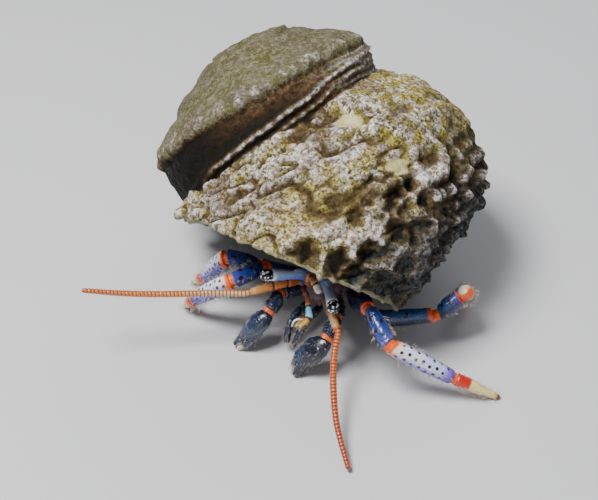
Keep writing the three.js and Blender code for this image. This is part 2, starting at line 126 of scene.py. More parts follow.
# Sizes of a piece are its half width and half depth, or its radii, at equal steps along it.
LEG_SIZES = {
    "merus": [(0.40, 0.42), (0.54, 0.66), (0.55, 0.72), (0.48, 0.56)],
    "carpus": [(0.44, 0.50), (0.60, 0.66), (0.62, 0.68), (0.56, 0.62)],
    "propodus": [(0.58, 0.62), (0.64, 0.70), (0.62, 0.66), (0.50, 0.52)],
    "dactyl": [(0.47, 0.49), (0.46, 0.47), (0.36, 0.38), (0.22, 0.25)],
}
LEG_ACROSS = (0.2, 1, 0.35)
FOLDED_LEG = ("leg3", LEFT)
KNEE_BARED = 0.80                   # how far the folded leg's carpus reaches to its knee

# Joints of a claw arm: hip, merus end, wrist, root of the fingers, finger tip.
CLAW_ARMS = [
    (LEFT, [(2.45, 1.6, 3.2), (3.63, -0.5, 3.7), (4.0, -2.2, 3.2), (3.1, -3.1, 1.9), (2.3, -3.9, 0.35)]),
    (RIGHT, [(-0.45, 1.6, 3.2), (-1.37, -0.5, 3.7), (-1.1, -2.2, 3.2), (-1.9, -3.1, 1.9),
             (-2.8, -3.9, 0.35)]),
]
CLAW_ACROSS = (0.4, 0.3, 1)
CLAW_SIZES = {
    "merus": [(0.38, 0.40), (0.50, 0.55), (0.50, 0.50)],
    "carpus": [(0.48, 0.48), (0.62, 0.58), (0.55, 0.52)],
    "palm": [(0.52, 0.56), (0.74, 0.98), (0.68, 0.86), (0.42, 0.48), (0.22, 0.26)],
    "finger": [(0.30, 0.28), (0.32, 0.29), (0.18, 0.20)],
}
# Size, height and seed of a piece's beads, and whether its tip is spared.
CLAW_BEADS = {"merus": (0.30, 0.075, 31), "carpus": (0.30, 0.075, 31), "palm": (0.34, 0.09, 37, True),
              "finger": (0.26, 0.05, 41, True)}
TAIL_BEADS = (0.3, 0.04, 53)
FINGER_INWARD = (0.42, 0.50, 0.24)  # root, middle, tip
FIXED_TIP_OUTWARD = 0.2
FINGER_ROOM = 0.44                  # that the palm leaves round the finger's path

# Root and tip of each stalk.
EYES = [(LEFT, (1.73, 0.88, 5.25), (3.8, -1.25, 5.54)), (RIGHT, (0.1, 0.6, 5.4), (-1.22, -1.9, 6.39))]
EYE = {"stalk": (0.41, 0.36, 0.36, 0.40, 0.45), "cornea": 0.445, "cornea_length": 0.63,
       "overlap": 0.03, "bulge": (0.90, 1.04, 1.04), "sunk": 0.04}
EYE_FLECKS = {"left": 151, "right": 191}            # seeds of the flecks on each cornea
# The scale over a stalk's root: how far along the stalk and above it, its length, droop and sizes.
EYE_SCALE = {"along": 0.15, "above": 0.42, "length": 0.75, "droop": 0.04,
             "sizes": [(0.16, 0.07), (0.22, 0.08), (0.05, 0.04)]}
# Joints of an antenna's stem, and points along its feeler.
ANTENNAE = [
    (LEFT, [(2.1, 0.4, 4.2), (3.3, -0.75, 4.4), (4.5, -1.85, 4.3)],
     [(5.55, -3.6, 3.6), (6.75, -5.5, 2.75), (8.45, -7.6, 1.65), (10.75, -9.63, 0.5)]),
    (RIGHT, [(-0.55, 0.5, 4.6), (-1.2, -0.84, 4.85), (-2.2, -2.5, 4.85)],
     [(-4.4, -4.4, 4.9), (-6.8, -6.45, 5.05), (-9.1, -8.5, 5.4), (-11.35, -10.47, 5.95)]),
]
STEM_SIZES = [(0.36, 0.34), (0.34, 0.32), (0.28, 0.27)]
FEELER_SIZES = [0.235, 0.25, 0.235, 0.19]
FEELER_RING = 0.27                  # mm from ring to ring
ROWS_PER_RING = 9
STEM_JOINTS = (0.3, 0.58)
# The scale beside a stem's root: how far along its first part and out from it, its length and sizes.
ANTENNA_SCALE = {"along": 0.55, "out": (0.42, 0.15, 0.12), "length": 0.8,
                 "sizes": [(0.17, 0.15), (0.13, 0.11), (0.04, 0.04)]}
ANTENNULES = [
    (LEFT, [(0.95, 0.3, 4.75), (0.8, 0.0, 5.4), (1.0, -0.15, 6.2), (1.77, -0.6, 6.22), (2.29, -0.88, 5.91)]),
    (RIGHT, [(0.3, 0.1, 4.5), (1.16, -0.6, 4.55), (1.76, -1.33, 4.4), (2.16, -1.89, 4.0),
             (1.95, -2.54, 3.65)]),
]
# Sizes at equal steps, and where along it the joints lie.
ANTENNULE_LOOKS = {"left": ((0.22, 0.22, 0.23, 0.22, 0.27, 0.24), (0.3, 0.6, 0.8)),
                   "right": ((0.20, 0.19, 0.19, 0.22, 0.27, 0.16), (0.28, 0.55, 0.78))}
ANTENNULE_HOOK = [(1.95, -2.25, 3.95), (1.66, -2.48, 4.05), (1.46, -2.68, 3.92), (1.42, -2.92, 3.55)]
MOUTH_LIMB = {"midline": MIDLINE,
              "out": [(0.5, 0.9, 2.55), (0.55, -0.6, 2.5), (0.5, -1.6, 1.9), (0.35, -2.0, 1.1)],
              "sizes": [(0.27, 0.34), (0.27, 0.34), (0.26, 0.30), (0.25, 0.25)],
              "joints": (0.3, 0.55, 0.78)}
SMALL_LEG = {"midline": 1.9, "out": [(1.45, 4.75, 4.5), (2.35, 4.4, 5.2), (2.75, 3.4, 5.6)],
             "sizes": [(0.26, 0.32), (0.27, 0.34), (0.25, 0.28)], "joints": (0.35, 0.7)}
HEAD = (MIDLINE, 1.1, 4.4)
# Path and sizes of each part of the trunk.
THORAX = ([(0.7, 0.9, 3.85), (1.9, 4.7, 4.45)], [(0.85, 0.62), (1.05, 0.80), (1.05, 0.85), (0.85, 0.75)])
SHIELD = ([(0.7, 1.35, 5.75), (1.95, 5.0, 6.25)],
          [(0.85, 0.34), (1.45, 0.52), (1.72, 0.62), (1.72, 0.62), (1.5, 0.5)])
UNDER_SHIELD = (0.0, 0.0, 0.55)     # how far the skin that carries the shield lies below it
ABDOMEN = ([(3.2, 6.0, 5.4), (4.1, 6.4, 6.8), (4.3, 6.9, 8.2), (3.9, 7.6, 9.4)],
           [(0.85, 0.6), (1.3, 1.1), (1.35, 1.2), (0.9, 0.8)])
TAIL_FAN = ([(3.3, 8.3, 10.5), (2.8, 8.7, 11.2)], [(0.6, 0.3), (0.8, 0.3)])
LEG_ROOT, CLAW_ROOT = 0.36, 0.34    # radii of the skin at the hips
CLAW_FOLDS = (0.42, 0.46, 0.20)     # and in the folds at the elbow, wrist and knuckle
KNUCKLE_IN = 0.40                   # how far inward of the palm the joint of its finger is
SKIN_VOXEL = 0.1

# Angles in degrees, lens and sensor in mm, distance and target in the crab's mm.
CAMERA = {"azimuth": 35.0, "elevation": 38.0, "lens": 90.0, "sensor": 36.0, "distance": 106.8,
          "target": (0.0, 0.0, 8.0)}
FLOOR_REACH = 1500
# Soft lamps: place and size in mm, and power in watts.
LAMPS = [("key", (-30, -75, 180), 70, 0.64), ("fill", (150, -150, 90), 160, 0.06),
         ("back", (-40, 180, 130), 140, 0.12)]

shift = np.array(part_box("shell")[0]) / MM - SHELL_LOW   # from the crab's frame to the model's


# ------------------------------------------------------------------ small tools

def smoothstep(x, low, high):
    """0 at low and 1 at high, which may be the smaller one."""
    u = np.clip((np.asarray(x, float) - low) / (high - low), 0, 1)
    return u * u * (3 - 2 * u)


def bump(x, centre, width):
    """1 at centre, falling smoothly to 0 at width to either side."""
    return smoothstep(np.abs(np.asarray(x, float) - centre), width, 0)


def wave(turns):
    """1 at every whole number, 0 halfway between."""
    return 0.5 + 0.5 * np.cos(2 * np.pi * turns)


def unit(v):
    v = np.asarray(v, float)
    return v / np.linalg.norm(v, axis=-1, keepdims=True)


def between(a, b, t):
    return np.asarray(a, float) * (1 - t) + np.asarray(b, float) * t


def hermite_span(u, start, leave, end, reach):
    """At u of the way between two values, each with its slope."""
    return ((2 * u**3 - 3 * u**2 + 1) * start + (u**3 - 2 * u**2 + u) * leave
            + (3 * u**2 - 2 * u**3) * end + (u**3 - u**2) * reach)


def hermite(x, xs, ys):
    """Smooth curve through the table (xs, ys)."""
    xs, ys = np.asarray(xs, float), np.asarray(ys, float)
    slopes = np.gradient(ys, xs)
    i = np.clip(np.searchsorted(xs, x) - 1, 0, len(xs) - 2)
    width = xs[i + 1] - xs[i]
    return hermite_span((x - xs[i]) / width, ys[i], width * slopes[i], ys[i + 1], width * slopes[i + 1])


def smooth_curve(points, per_span=24, spacing=0.5):
    """Dense points of the Catmull-Rom curve that the frame uses: centripetal, or even for spacing 0."""
    p = np.asarray(points, float)
    p = np.concatenate([[2 * p[0] - p[1]], p, [2 * p[-1] - p[-2]]])
    rows = []
    for before, start, end, after in zip(p, p[1:], p[2:], p[3:]):
        gaps = ((before, start), (start, end), (end, after))
        a, b, c = (np.linalg.norm(there - here) ** spacing for here, there in gaps)
        leave = ((start - before) / a - (end - before) / (a + b) + (end - start) / b) * b
        reach = ((end - start) / b - (after - start) / (b + c) + (after - end) / c) * b
        rows += [hermite_span(u, start, leave, end, reach) for u in np.arange(per_span) / per_span]
    return np.array([*rows, p[-2]])


def hashed(cell, seed):
    """A repeatable number in 0..1 for each row of whole numbers."""
    c = cell.astype(np.int64)
    h = (c[..., 0] * 374761393 + c[..., 1] * 668265263 + c[..., 2] * 2147483647 + seed * 974711) & 0xFFFFFFFF
    h = ((h ^ (h >> 13)) * 1274126177) & 0xFFFFFFFF
    h = ((h ^ (h >> 16)) * 2246822519) & 0xFFFFFFFF
    return ((h ^ (h >> 15)) & 0xFFFFFF) / 0xFFFFFF


def noise(points, size, seed=0):
    """Smooth noise in -1..1 whose lumps are about `size` across."""
    p = np.asarray(points, float) / size
    cell = np.floor(p)
    f = p - cell
    f = f * f * (3 - 2 * f)
    total = np.zeros(len(p))
    for corner in np.ndindex(2, 2, 2):
        weight = np.prod(np.where(np.array(corner) == 1, f, 1 - f), axis=1)
        total += weight * hashed(cell + corner, seed)
    return 2 * total - 1


def scattered(points, size, seed):
    """For points scattered one to a cell: the distance in cells to the nearest, and its own number."""
    p = np.asarray(points, float) / size
    cell = np.floor(p)
    nearest, number = np.full(len(p), 9.0), np.zeros(len(p))
    for step in np.ndindex(3, 3, 3):
        corner = cell + np.array(step) - 1
        jitter = np.stack([hashed(corner, seed + k) for k in range(3)], axis=-1)
        away = np.linalg.norm(corner + 0.15 + 0.7 * jitter - p, axis=1)
        number = np.where(away < nearest, jitter[:, 0], number)
        nearest = np.minimum(nearest, away)
    return nearest, number


def fractal(points, size, octaves=3, seed=0):
    total = sum(noise(points, size / 2**i, seed + i) / 2**i for i in range(octaves))
    return total / (2 - 2 ** (1 - octaves))


def lumps_of(values, wide=0.30):
    """Rounded lumps parted by narrow grooves where smooth noise passes through 0."""
    return np.clip(np.abs(values) / wide, 0, 1) ** 0.6


# ------------------------------------------------------------------ meshes

def linked(name, data):
    """A new object with this data, in the scene."""
    obj = bpy.data.objects.new(name, data)
    bpy.context.scene.collection.objects.link(obj)
    return obj


@contextmanager
def editing(mesh):
    """The mesh open for bmesh's tools, and written back at the end."""
    edit = bmesh.new()
    edit.from_mesh(mesh)
    yield edit
    edit.to_mesh(mesh)
    edit.free()


def tube_faces(rows, columns):
    """Faces of a closed tube through rings of points, with flat ends."""
    faces = []
    for i in range(rows - 1):
        for j in range(columns):
            k = (j + 1) % columns
            faces.append((i * columns + j, i * columns + k, (i + 1) * columns + k, (i + 1) * columns + j))
    return faces + [tuple(range(columns))[::-1], tuple((rows - 1) * columns + j for j in range(columns))]


def mesh_of(name, points, faces, origin=True):
    """A mesh object, from points in mm in the crab's frame, or left in mm where origin is False."""
    mesh = bpy.data.meshes.new(name)
    scaled = (np.asarray(points, float) + shift) * MM if origin else np.asarray(points, float)
    mesh.from_pydata(scaled.tolist(), [], [tuple(int(i) for i in f) for f in faces])
    mesh.update()
    return linked(name, mesh)


def turned_outward(obj, merged_within=None):
    """The object with all its faces looking outward, and its points merged where they meet."""
    with editing(obj.data) as edit:
        if merged_within:
            bmesh.ops.remove_doubles(edit, verts=edit.verts, dist=merged_within)
        bmesh.ops.recalc_face_normals(edit, faces=edit.faces)
    return obj


def applied(obj):
    """The object's mesh with its modifiers applied, and the object itself removed."""
    bpy.context.view_layer.update()
    depsgraph = bpy.context.evaluated_depsgraph_get()
    mesh = bpy.data.meshes.new_from_object(obj.evaluated_get(depsgraph))
    bpy.data.objects.remove(obj)
    return mesh


def remeshed(obj, voxel, rounds):
    """The mesh of the object's outer surface, relaxed."""
    remesh = obj.modifiers.new("remesh", "REMESH")
    remesh.mode = "VOXEL"
    remesh.voxel_size = voxel
    relax = obj.modifiers.new("relax", "SMOOTH")
    relax.iterations = rounds
    relax.factor = 0.5
    return applied(obj)


def vectors_of(mesh, kind):
    """Its points, for kind "co", or their normals, for "normal"."""
    flat = np.zeros(len(mesh.vertices) * 3)
    mesh.vertices.foreach_get(kind, flat)
    return flat.reshape(-1, 3)


def corners_of(mesh):
    """The number of the point at each corner of its faces."""
    corners = np.zeros(len(mesh.loops), dtype=np.int32)
    mesh.loops.foreach_get("vertex_index", corners)
    return corners


def shade_smooth(mesh):
    mesh.polygons.foreach_set("use_smooth", [True] * len(mesh.polygons))


def above_floor(points, least=0):
    points[:, 2] = np.maximum(points[:, 2], least)
    return points


def moved(mesh, points):
    """The smooth mesh with its points moved to these, in mm in the crab's frame."""
    mesh.vertices.foreach_set("co", ((above_floor(points) + shift) * MM).ravel())
    shade_smooth(mesh)
    mesh.update()
    return mesh


def set_masks(mesh, masks):
    """Values at each point, which the mesh's material is coloured by."""
    for name, values in masks.items():
        layer = mesh.attributes.new(name, "FLOAT", "POINT")
        layer.data.foreach_set("value", np.ascontiguousarray(values, dtype=np.float32))


# ------------------------------------------------------------------ materials

materials = {}


def colour_of(code):
    """The linear red, green, blue and alpha that nodes take, of a screen's colour such as "ce2208"."""
    values = [c / 255 for c in bytes.fromhex(code)]
    return (*(((v + 0.055) / 1.055) ** 2.4 if v > 0.04 else v / 12.92 for v in values), 1)


class Paint:
    """A material's node tree, with short calls for the nodes used here. Colours are written as codes."""

    def __init__(self, name):
        materials[name] = bpy.data.materials.new(name)
        materials[name].use_nodes = True
        self.tree = materials[name].node_tree
        self.tree.nodes.clear()
        in_mm = {"Vector": self.node("ShaderNodeTexCoord", "Object"), "Scale": (1 / MM, 1 / MM, 1 / MM)}
        self.place = self.node("ShaderNodeMapping", "Vector", in_mm)

    def node(self, kind, output, inputs=None, **settings):
        """One output of a new node, whose inputs are other nodes' outputs or constants."""
        made = self.tree.nodes.new(kind)
        for key, value in settings.items():
            setattr(made, key, value)
        for key, source in (inputs or {}).items():
            if isinstance(source, bpy.types.NodeSocket):
                self.tree.links.new(source, made.inputs[key])
            else:
                made.inputs[key].default_value = colour_of(source) if isinstance(source, str) else source
        return made.outputs[output]

    def mask(self, name):
        return self.node("ShaderNodeAttribute", "Fac", attribute_name=name)

    def add(self, a, b, operation="ADD"):
        return self.node("ShaderNodeMath", 0, {0: a, 1: b}, operation=operation)

    def times(self, a, b):
        return self.add(a, b, "MULTIPLY")

    def range(self, value, low, high, to_low=0.0, to_high=1.0):
        inputs = {"Value": value, "From Min": low, "From Max": high, "To Min": to_low, "To Max": to_high}
        return self.node("ShaderNodeMapRange", "Result", inputs, clamp=True, interpolation_type="SMOOTHSTEP")

    def ramp(self, value, stops):
        """Colours at positions 0 to 1, blended between."""
        output = self.node("ShaderNodeValToRGB", "Color", {"Fac": value})
        elements = output.node.color_ramp.elements
        while len(elements) < len(stops):
            elements.new(0.5)
        for element, (position, colour) in zip(elements, stops):
            element.position = position
            element.color = colour_of(colour)
        return output

    def mix(self, factor, a, b, blend="MIX"):
        inputs = {"Factor": factor, 6: a, 7: b}
        return self.node("ShaderNodeMix", 2, inputs, data_type="RGBA", blend_type=blend)

    def fade(self, value, a, b, low=0.38, high=0.62, most=1.0):
        """From colour a towards b as the value goes from low to high, up to this much of b."""
        return self.mix(self.range(value, low, high, 0.0, most), a, b)

    def noise(self, size, detail=3.0, roughness=0.55):
        """Noise around 0.5 whose lumps are about `size` mm across."""
        inputs = {"Vector": self.place, "Scale": 1 / size, "Detail": detail, "Roughness": roughness}
        return self.node("ShaderNodeTexNoise", "Fac", inputs)

    def cells(self, size, output="Distance"):
        return self.node("ShaderNodeTexVoronoi", output, {"Vector": self.place, "Scale": 1 / size})

    def bump(self, height, depth_mm):
        return self.node("ShaderNodeBump", "Normal", {"Height": height, "Distance": depth_mm * MM})

    def finish(self, colour, roughness, normal=None, **more):
        inputs = {"Base Color": colour, "Roughness": roughness}
        if normal:
            inputs["Normal"] = normal
        inputs.update({key.replace("_", " "): value for key, value in more.items()})
        shader = self.node("ShaderNodeBsdfPrincipled", "BSDF", inputs)
        target = self.tree.nodes.new("ShaderNodeOutputMaterial")
        self.tree.links.new(shader, target.inputs["Surface"])


def shell_paint():
    """Chalky crust: speckled cream, olive and lilac, whiter on crests, darker in hollows by a brown stain
    and painted shade, with painted shade over its low parts, the lower part of the last whorl and the
    inside.
    """
    paint = Paint("shell-crust")
    mask, mix, ranged, fade = paint.mask, paint.mix, paint.range, paint.fade
    speckle, flecks = paint.noise(0.16, 2.0), paint.noise(0.26, 3.0, 0.7)
    grain, patch, field = paint.noise(0.36), paint.noise(1.1, 4.0, 0.6), paint.noise(3.2)

    # The last whorl: pale crust with olive and brown patches, speckled dark.
    pale = fade(grain, "68584c", "e6ded0")
    olive = fade(flecks, "5a501a", "b8aa50")
    brown = fade(flecks, "463428", "968270", 0.40, 0.64)
    mossy = paint.add(patch, paint.times(mask("moss"), -0.10))
    body = fade(mossy, olive, pale, 0.42, 0.56)
    body = fade(field, body, brown, 0.46, 0.64, 0.75)
    mossy_light = fade(flecks, "8c7a2c", "f0e088", 0.38, 0.60)
    body = mix(paint.times(mask("moss"), 0.45), body, mossy_light)
    body = fade(speckle, body, "382e1c", 0.52, 0.60, 0.72)
    # Painted shade: the crust's low parts turn a darker olive-brown.
    body = fade(mask("high"), body, "423822", 0.52, 0.30, 0.88)

    # The spire's worn top is plainer and greener.
    top = fade(patch, "54502a", "6a664e")
    top = fade(field, top, "62564a", 0.45, 0.62, 0.7)
    top = fade(grain, top, "8c8874", 0.45, 0.65, 0.6)
    top = fade(speckle, top, "423c22", 0.52, 0.62, 0.7)
    colour = mix(mask("keeled"), body, top)

    # Crests are lilac, the worn patches plain.
    lilac = fade(grain, "968890", "eee6e8")
    crests = paint.times(mask("crest"), ranged(flecks, 0.38, 0.54))
    colour = fade(crests, colour, lilac, 0.15, 0.75, 0.85)
    plain = fade(patch, "b4aa74", "ccc496", 0.4, 0.6)
    worn = paint.add(mask("worn"), ranged(flecks, 0.3, 0.7, -0.2, 0.2))
    colour = fade(worn, colour, plain, 0.25, 0.8)

    # Hollows are darkened, nearly black where they are deepest: partly a brown stain, partly painted shade
    # in the pits, grooves, furrows, suture and the band under the keel.
    fuzzy = paint.add(mask("dark"), ranged(flecks, 0.3, 0.7, -0.25, 0.25))
    whorl_hollow_brown = fade(grain, "362a18", "665432", 0.35, 0.65)
    spire_hollow_brown = fade(grain, "322114", "583e26", 0.35, 0.65)
    stain_and_shade = fade(mask("dark"), mix(mask("keeled"), whorl_hollow_brown, spire_hollow_brown), "0a0604", 0.45, 1.0)
    colour = fade(fuzzy, colour, stain_and_shade, 0.12, 0.55, 0.97)
    # Painted shade: the lower part of the last whorl turns a near-black grey.
    painted_shade = fade(grain, "0c1012", "3e4446", 0.4, 0.6)
    shaded = paint.times(mask("shade"), ranged(patch, 0.35, 0.6, 0.6, 0.97))
    colour = mix(shaded, colour, painted_shade)
    # Painted shade: the inside of the last whorl is a dark grey-brown.
    inside = fade(patch, "544e4c", "8c847e", 0.3, 0.7)
    colour = mix(mask("outside"), inside, colour)
    colour = fade(mask("lip"), colour, "928c70", 0.5, 1.0, 0.55)

    relief = paint.add(paint.times(grain, 0.5), paint.times(flecks, 0.5))
    roughness = ranged(grain, 0.3, 0.7, 0.6, 0.95)
    paint.finish(colour, roughness, paint.bump(relief, 0.22), Specular_IOR_Level=0.14)


SHADOW_TINT, SHEEN_TINT = (0.02, 0.03, 0.09, 1), (0.6, 0.7, 0.9, 1)


def plate_paint(name, stops, below=None, spot=None, bead=None, bump_mm=0.02, mottle=0.12, side=(0.8, -0.15)):
    """A glossy plate coloured along its length, differently below, with its spots and beads."""
    paint = Paint(name)
    wander = paint.range(paint.noise(0.5, 2.0), 0.3, 0.7, -0.008, 0.008)
    along = paint.add(paint.mask("u"), wander)
    colour = paint.ramp(along, stops)
    grain, cloud = paint.noise(0.13), paint.noise(0.8)
    if below:
        upward = paint.add(paint.mask("upward"), paint.range(cloud, 0.3, 0.7, -0.15, 0.15))
        colour = paint.mix(paint.range(upward, *side), colour, paint.ramp(along, below))
    colour = paint.mix(paint.range(cloud, 0.35, 0.7, 0.0, 2 * mottle), colour, SHADOW_TINT, "MULTIPLY")
    colour = paint.mix(paint.range(grain, 0.58, 0.78, 0.0, 0.5 * mottle), colour, SHEEN_TINT, "SCREEN")
    if spot:
        colour = paint.fade(paint.mask("spot"), colour, spot, 0.25, 0.6)
    if bead:
        beads = paint.mix(paint.cells(0.32, "Color"), *bead)
        colour = paint.fade(paint.mask("bead"), colour, beads, 0.45, 0.85)
    roughness = paint.range(grain, 0.35, 0.65, 0.22, 0.42)
    paint.finish(colour, roughness, paint.bump(grain, bump_mm), Coat_Weight=0.5, Coat_Roughness=0.12)


def cornea_paint():
    paint = Paint("cornea")
    black = paint.mix(paint.noise(0.4, 2.0), "06060c", "14101e")
    colour = paint.fade(paint.mask("spot"), black, "ecf0f6", 0.3, 0.6)
    colour = paint.fade(paint.mask("u"), colour, "f0f4fa", 0.20, 0.16)
    facets = paint.bump(paint.cells(0.045), 0.006)
    paint.finish(colour, 0.15, facets, Coat_Weight=0.35, Coat_Roughness=0.04, Specular_IOR_Level=0.3)


def skin_paint():
    paint = Paint("soft-skin")
    grain = paint.noise(0.12)
    trunk = paint.fade(paint.noise(0.9), "5c4a60", "967470", 0.35, 0.65)
    # Painted shade: darker purple in the creases between the skin's folds.
    trunk = paint.fade(paint.mask("bead"), trunk, "3c283c", 0.25, 0.0, 0.7)
    fold = paint.fade(grain, "d84e14", "f0782c", 0.4, 0.6)
    colour = paint.mix(paint.mask("joint"), trunk, fold)
    paint.finish(colour, paint.range(grain, 0.3, 0.7, 0.3, 0.5), paint.bump(grain, 0.02),
                 Subsurface_Weight=0.15, Subsurface_Scale=0.4 * MM)


def bristle_paint(name, root, tip):
    paint = Paint(name)
    colour = paint.fade(paint.mask("tip"), root, tip, 0.0, 0.8)
    colour = paint.fade(paint.noise(0.5, 2.0), colour, "96826e", 0.4, 0.6, 0.3)
    paint.finish(colour, 0.35, Specular_IOR_Level=0.5)


BLUE_DARK, BLUE, TEAL, LILAC = "081032", "122a6c", "145480", "6846a8"
ORANGE, RED_ORANGE, CREAM, SPOT = "e85c0e", "ce2208", "f0de96", "220c16"
# Colours from root (0) to tip (1) of each kind of plate, above and below.
PLATE_PAINTS = {
    "leg-merus": {
        "stops": [(0, BLUE_DARK), (0.35, BLUE), (0.93, TEAL), (0.955, ORANGE), (1, RED_ORANGE)],
        "below": [(0, BLUE_DARK), (0.92, BLUE_DARK), (0.96, ORANGE)],
        "spot": SPOT,
    },
    "leg-carpus": {
        "stops": [(0, RED_ORANGE), (0.035, ORANGE), (0.06, BLUE), (0.6, "1e3e8c"), (0.95, "424aa8")],
        "below": [(0, ORANGE), (0.06, BLUE_DARK), (1, "101c54")],
        "spot": SPOT,
    },
    "leg-carpus-teal": {
        "stops": [(0, ORANGE), (0.035, ORANGE), (0.06, TEAL), (0.6, "1c5896"), (0.92, "6e60be"),
                  (0.97, ORANGE)],
        "below": [(0, ORANGE), (0.06, BLUE_DARK), (0.9, "28286e"), (0.96, RED_ORANGE)],
        "spot": SPOT,
    },
    "leg-propodus": {
        "stops": [(0, ORANGE), (0.06, ORANGE), (0.085, "f8e2dc"), (0.35, "e8eafa"), (0.8, "c4ccf8"),
                  (0.87, "8c76d2"), (0.95, LILAC)],
        "below": [(0, ORANGE), (0.13, "ec6828"), (0.18, "7878e2"), (0.8, "3e3cb4"), (0.95, "401e78")],
        "spot": SPOT, "mottle": 0.05, "side": (1, 0.1),
    },
    "leg-propodus-pale": {
        "stops": [(0, "f8e2c4"), (0.16, "f6e8d8"), (0.35, "d6dcf8"), (0.8, "aab4f0"), (0.95, LILAC)],
        "below": [(0, ORANGE), (0.13, "ec6828"), (0.2, "7878e2"), (0.8, "3e3cb4"), (0.95, "401e78")],
        "spot": SPOT, "mottle": 0.05,
    },
    "leg-dactyl": {
        "stops": [(0, RED_ORANGE), (0.29, RED_ORANGE), (0.325, CREAM), (0.8, CREAM), (0.9, "e2aa50"),
                  (0.935, "964618"), (0.96, "180e0c")],
        "below": [(0, "c4280e"), (0.29, "d63c14"), (0.33, "e2c478"), (0.88, "c89650"), (0.95, "180e0c")],
        "mottle": 0.05,
    },
    "claw-plate": {
        "stops": [(0, "0a122c"), (0.5, "163454"), (1, "101a3a")],
        "below": [(0, "080c1e"), (1, "0e1430")],
        "bead": ("5c8c9c", "967082"), "bump_mm": 0.03,
    },
    "claw-finger": {
        "stops": [(0, "0c1430"), (0.7, "162c4e"), (0.86, "d2cdbe"), (0.97, "ece6d6")],
        "bead": ("6496a4", "b4aca4"),
    },
    "eyestalk": {
        "stops": [(0, "8292d6"), (0.35, "b0ccfa"), (0.85, "cee2ff"), (0.955, "e2ecfc"), (0.985, "fafafc")],
        "below": [(0, "5464be"), (0.9, "78a0f0"), (0.97, "f0f4fc")],
        "bead": ("e27854", "d6604e"), "bump_mm": 0.012, "mottle": 0.04,
    },
    "antenna-stem": {
        "stops": [(0, "963c14"), (0.3, "ce6822"), (0.7, "e8923a"), (1, "eeaa50")],
        "below": [(0, "783c28"), (1, "e2b482")],
        "spot": "6e2c12", "mottle": 0.08,
    },
    "feeler-left": {
        "stops": [(0, "e6923c"), (0.1, "ce7438"), (1, "c65822")],
        "below": [(0, "ce6828"), (1, "a03812")],
        "spot": "742a0e", "bead": ("5c283c", "783232"), "mottle": 0.05,
    },
    "feeler-right": {
        "stops": [(0, "e8a054"), (0.08, "d6b27a"), (0.26, "cea870"), (0.44, "d48232"), (1, "c46024")],
        "below": [(0, "d6823c"), (0.26, "b08c60"), (0.44, "be6022"), (1, "ac4c1a")],
        "spot": "823c18", "mottle": 0.05,
    },
    "antennule-left": {
        "stops": [(0, "5a3228"), (0.5, "c47438"), (0.77, "d68c54"), (0.82, "f6f0e2")],
        "spot": "6e3218", "mottle": 0.06,
    },
    "antennule-right": {
        "stops": [(0, "542e2c"), (0.3, "b05c34"), (0.53, "ce8046"), (0.56, "78ceec"), (0.75, "a0def6"),
                  (0.785, "c4963c"), (0.95, "dcaa4c"), (1, "f0e6d2")],
        "spot": "46323c", "mottle": 0.06,
    },
    "antennule-hook": {
        "stops": [(0, "cea05a"), (0.35, "f0e6d0"), (1, "fcf8f0")],
        "mottle": 0.04,
    },
    "shield-plate": {
        "stops": [(0, "6080a0"), (0.5, "48607c"), (1, "464c5c")],
        "below": [(0, "28365c"), (1, "242a46")],
        "spot": "24283e", "bead": ("788c8c", "a48e76"),
    },
}
BRISTLE_PAINTS = {"bristle": ("c4b084", "f6f0e2"), "bristle-claw": ("6e6054", "baaa92"),
                  "antennule-brush": ("c48c32", "f4d68c")}


def mix_paints():
    """Every material, which the pieces then take by name."""
    shell_paint()
    for name, looks in PLATE_PAINTS.items():
        plate_paint(name, **looks)
    cornea_paint()
    skin_paint()
    for name, (root, tip) in BRISTLE_PAINTS.items():
        bristle_paint(name, root, tip)


# ------------------------------------------------------------------ the shell's form

PER_SPAN = 8
KEELED_CURVE = smooth_curve(KEELED_WHORL, PER_SPAN, 0)
ROUND_CURVE = smooth_curve(ROUND_WHORL, PER_SPAN, 0)
SPAN = np.arange(len(ROUND_CURVE)) / PER_SPAN       # 0 at the suture, 9 at the axis

AXIS_UP = unit(AXIS)
AXIS_FRONT = unit(np.array([0.0, -1.0, 0.0]) - AXIS_UP * (-AXIS_UP[1]))
AXIS_SIDE = np.cross(AXIS_UP, AXIS_FRONT)
MOUTH_FACING = unit(MOUTH_NORMAL)


def whorl_radius(turn):
    return RADIUS * GROWTH ** np.asarray(turn, float)


def whorl_sections(turns):
    """(turn, point, 2) array of each whorl section: distance from the axis, and height."""
    turns = np.asarray(turns, float)
    rounded = smoothstep(turns, KEELED_UNTIL, ROUND_FROM)[:, None, None]
    outline = (1 - rounded) * KEELED_CURVE + rounded * ROUND_CURVE
    size = whorl_radius(turns)[:, None]
    out = np.maximum(outline[..., 0] * size, NEAR_AXIS)
    height = -hermite(turns, SUTURE_TURNS, SUTURE_DEPTHS)[:, None] - outline[..., 1] * size
    return np.stack([out, height], axis=-1)


def from_axis(turns, out, height):
    """Points of the crab's frame at these turns, distances from the axis and heights."""
    angle = np.radians(START_ANGLE - 360 * np.asarray(turns, float))
    x, y = out * np.cos(angle), out * np.sin(angle)
    return APEX + x[..., None] * AXIS_FRONT + y[..., None] * AXIS_SIDE + height[..., None] * AXIS_UP


def about_axis(points):
    """Each point's distance from the axis, angle about it, and height."""
    relative = points - APEX
    x, y = relative @ AXIS_FRONT, relative @ AXIS_SIDE
    return np.hypot(x, y), np.arctan2(y, x), relative @ AXIS_UP


def closed_loft(name, rings):
    """A closed mesh in mm through rings of points, with flat ends, merged where rings meet."""
    obj = mesh_of(name, rings.reshape(-1, 3), tube_faces(*rings.shape[:2]), origin=False)
    return turned_outward(obj, merged_within=1e-5)


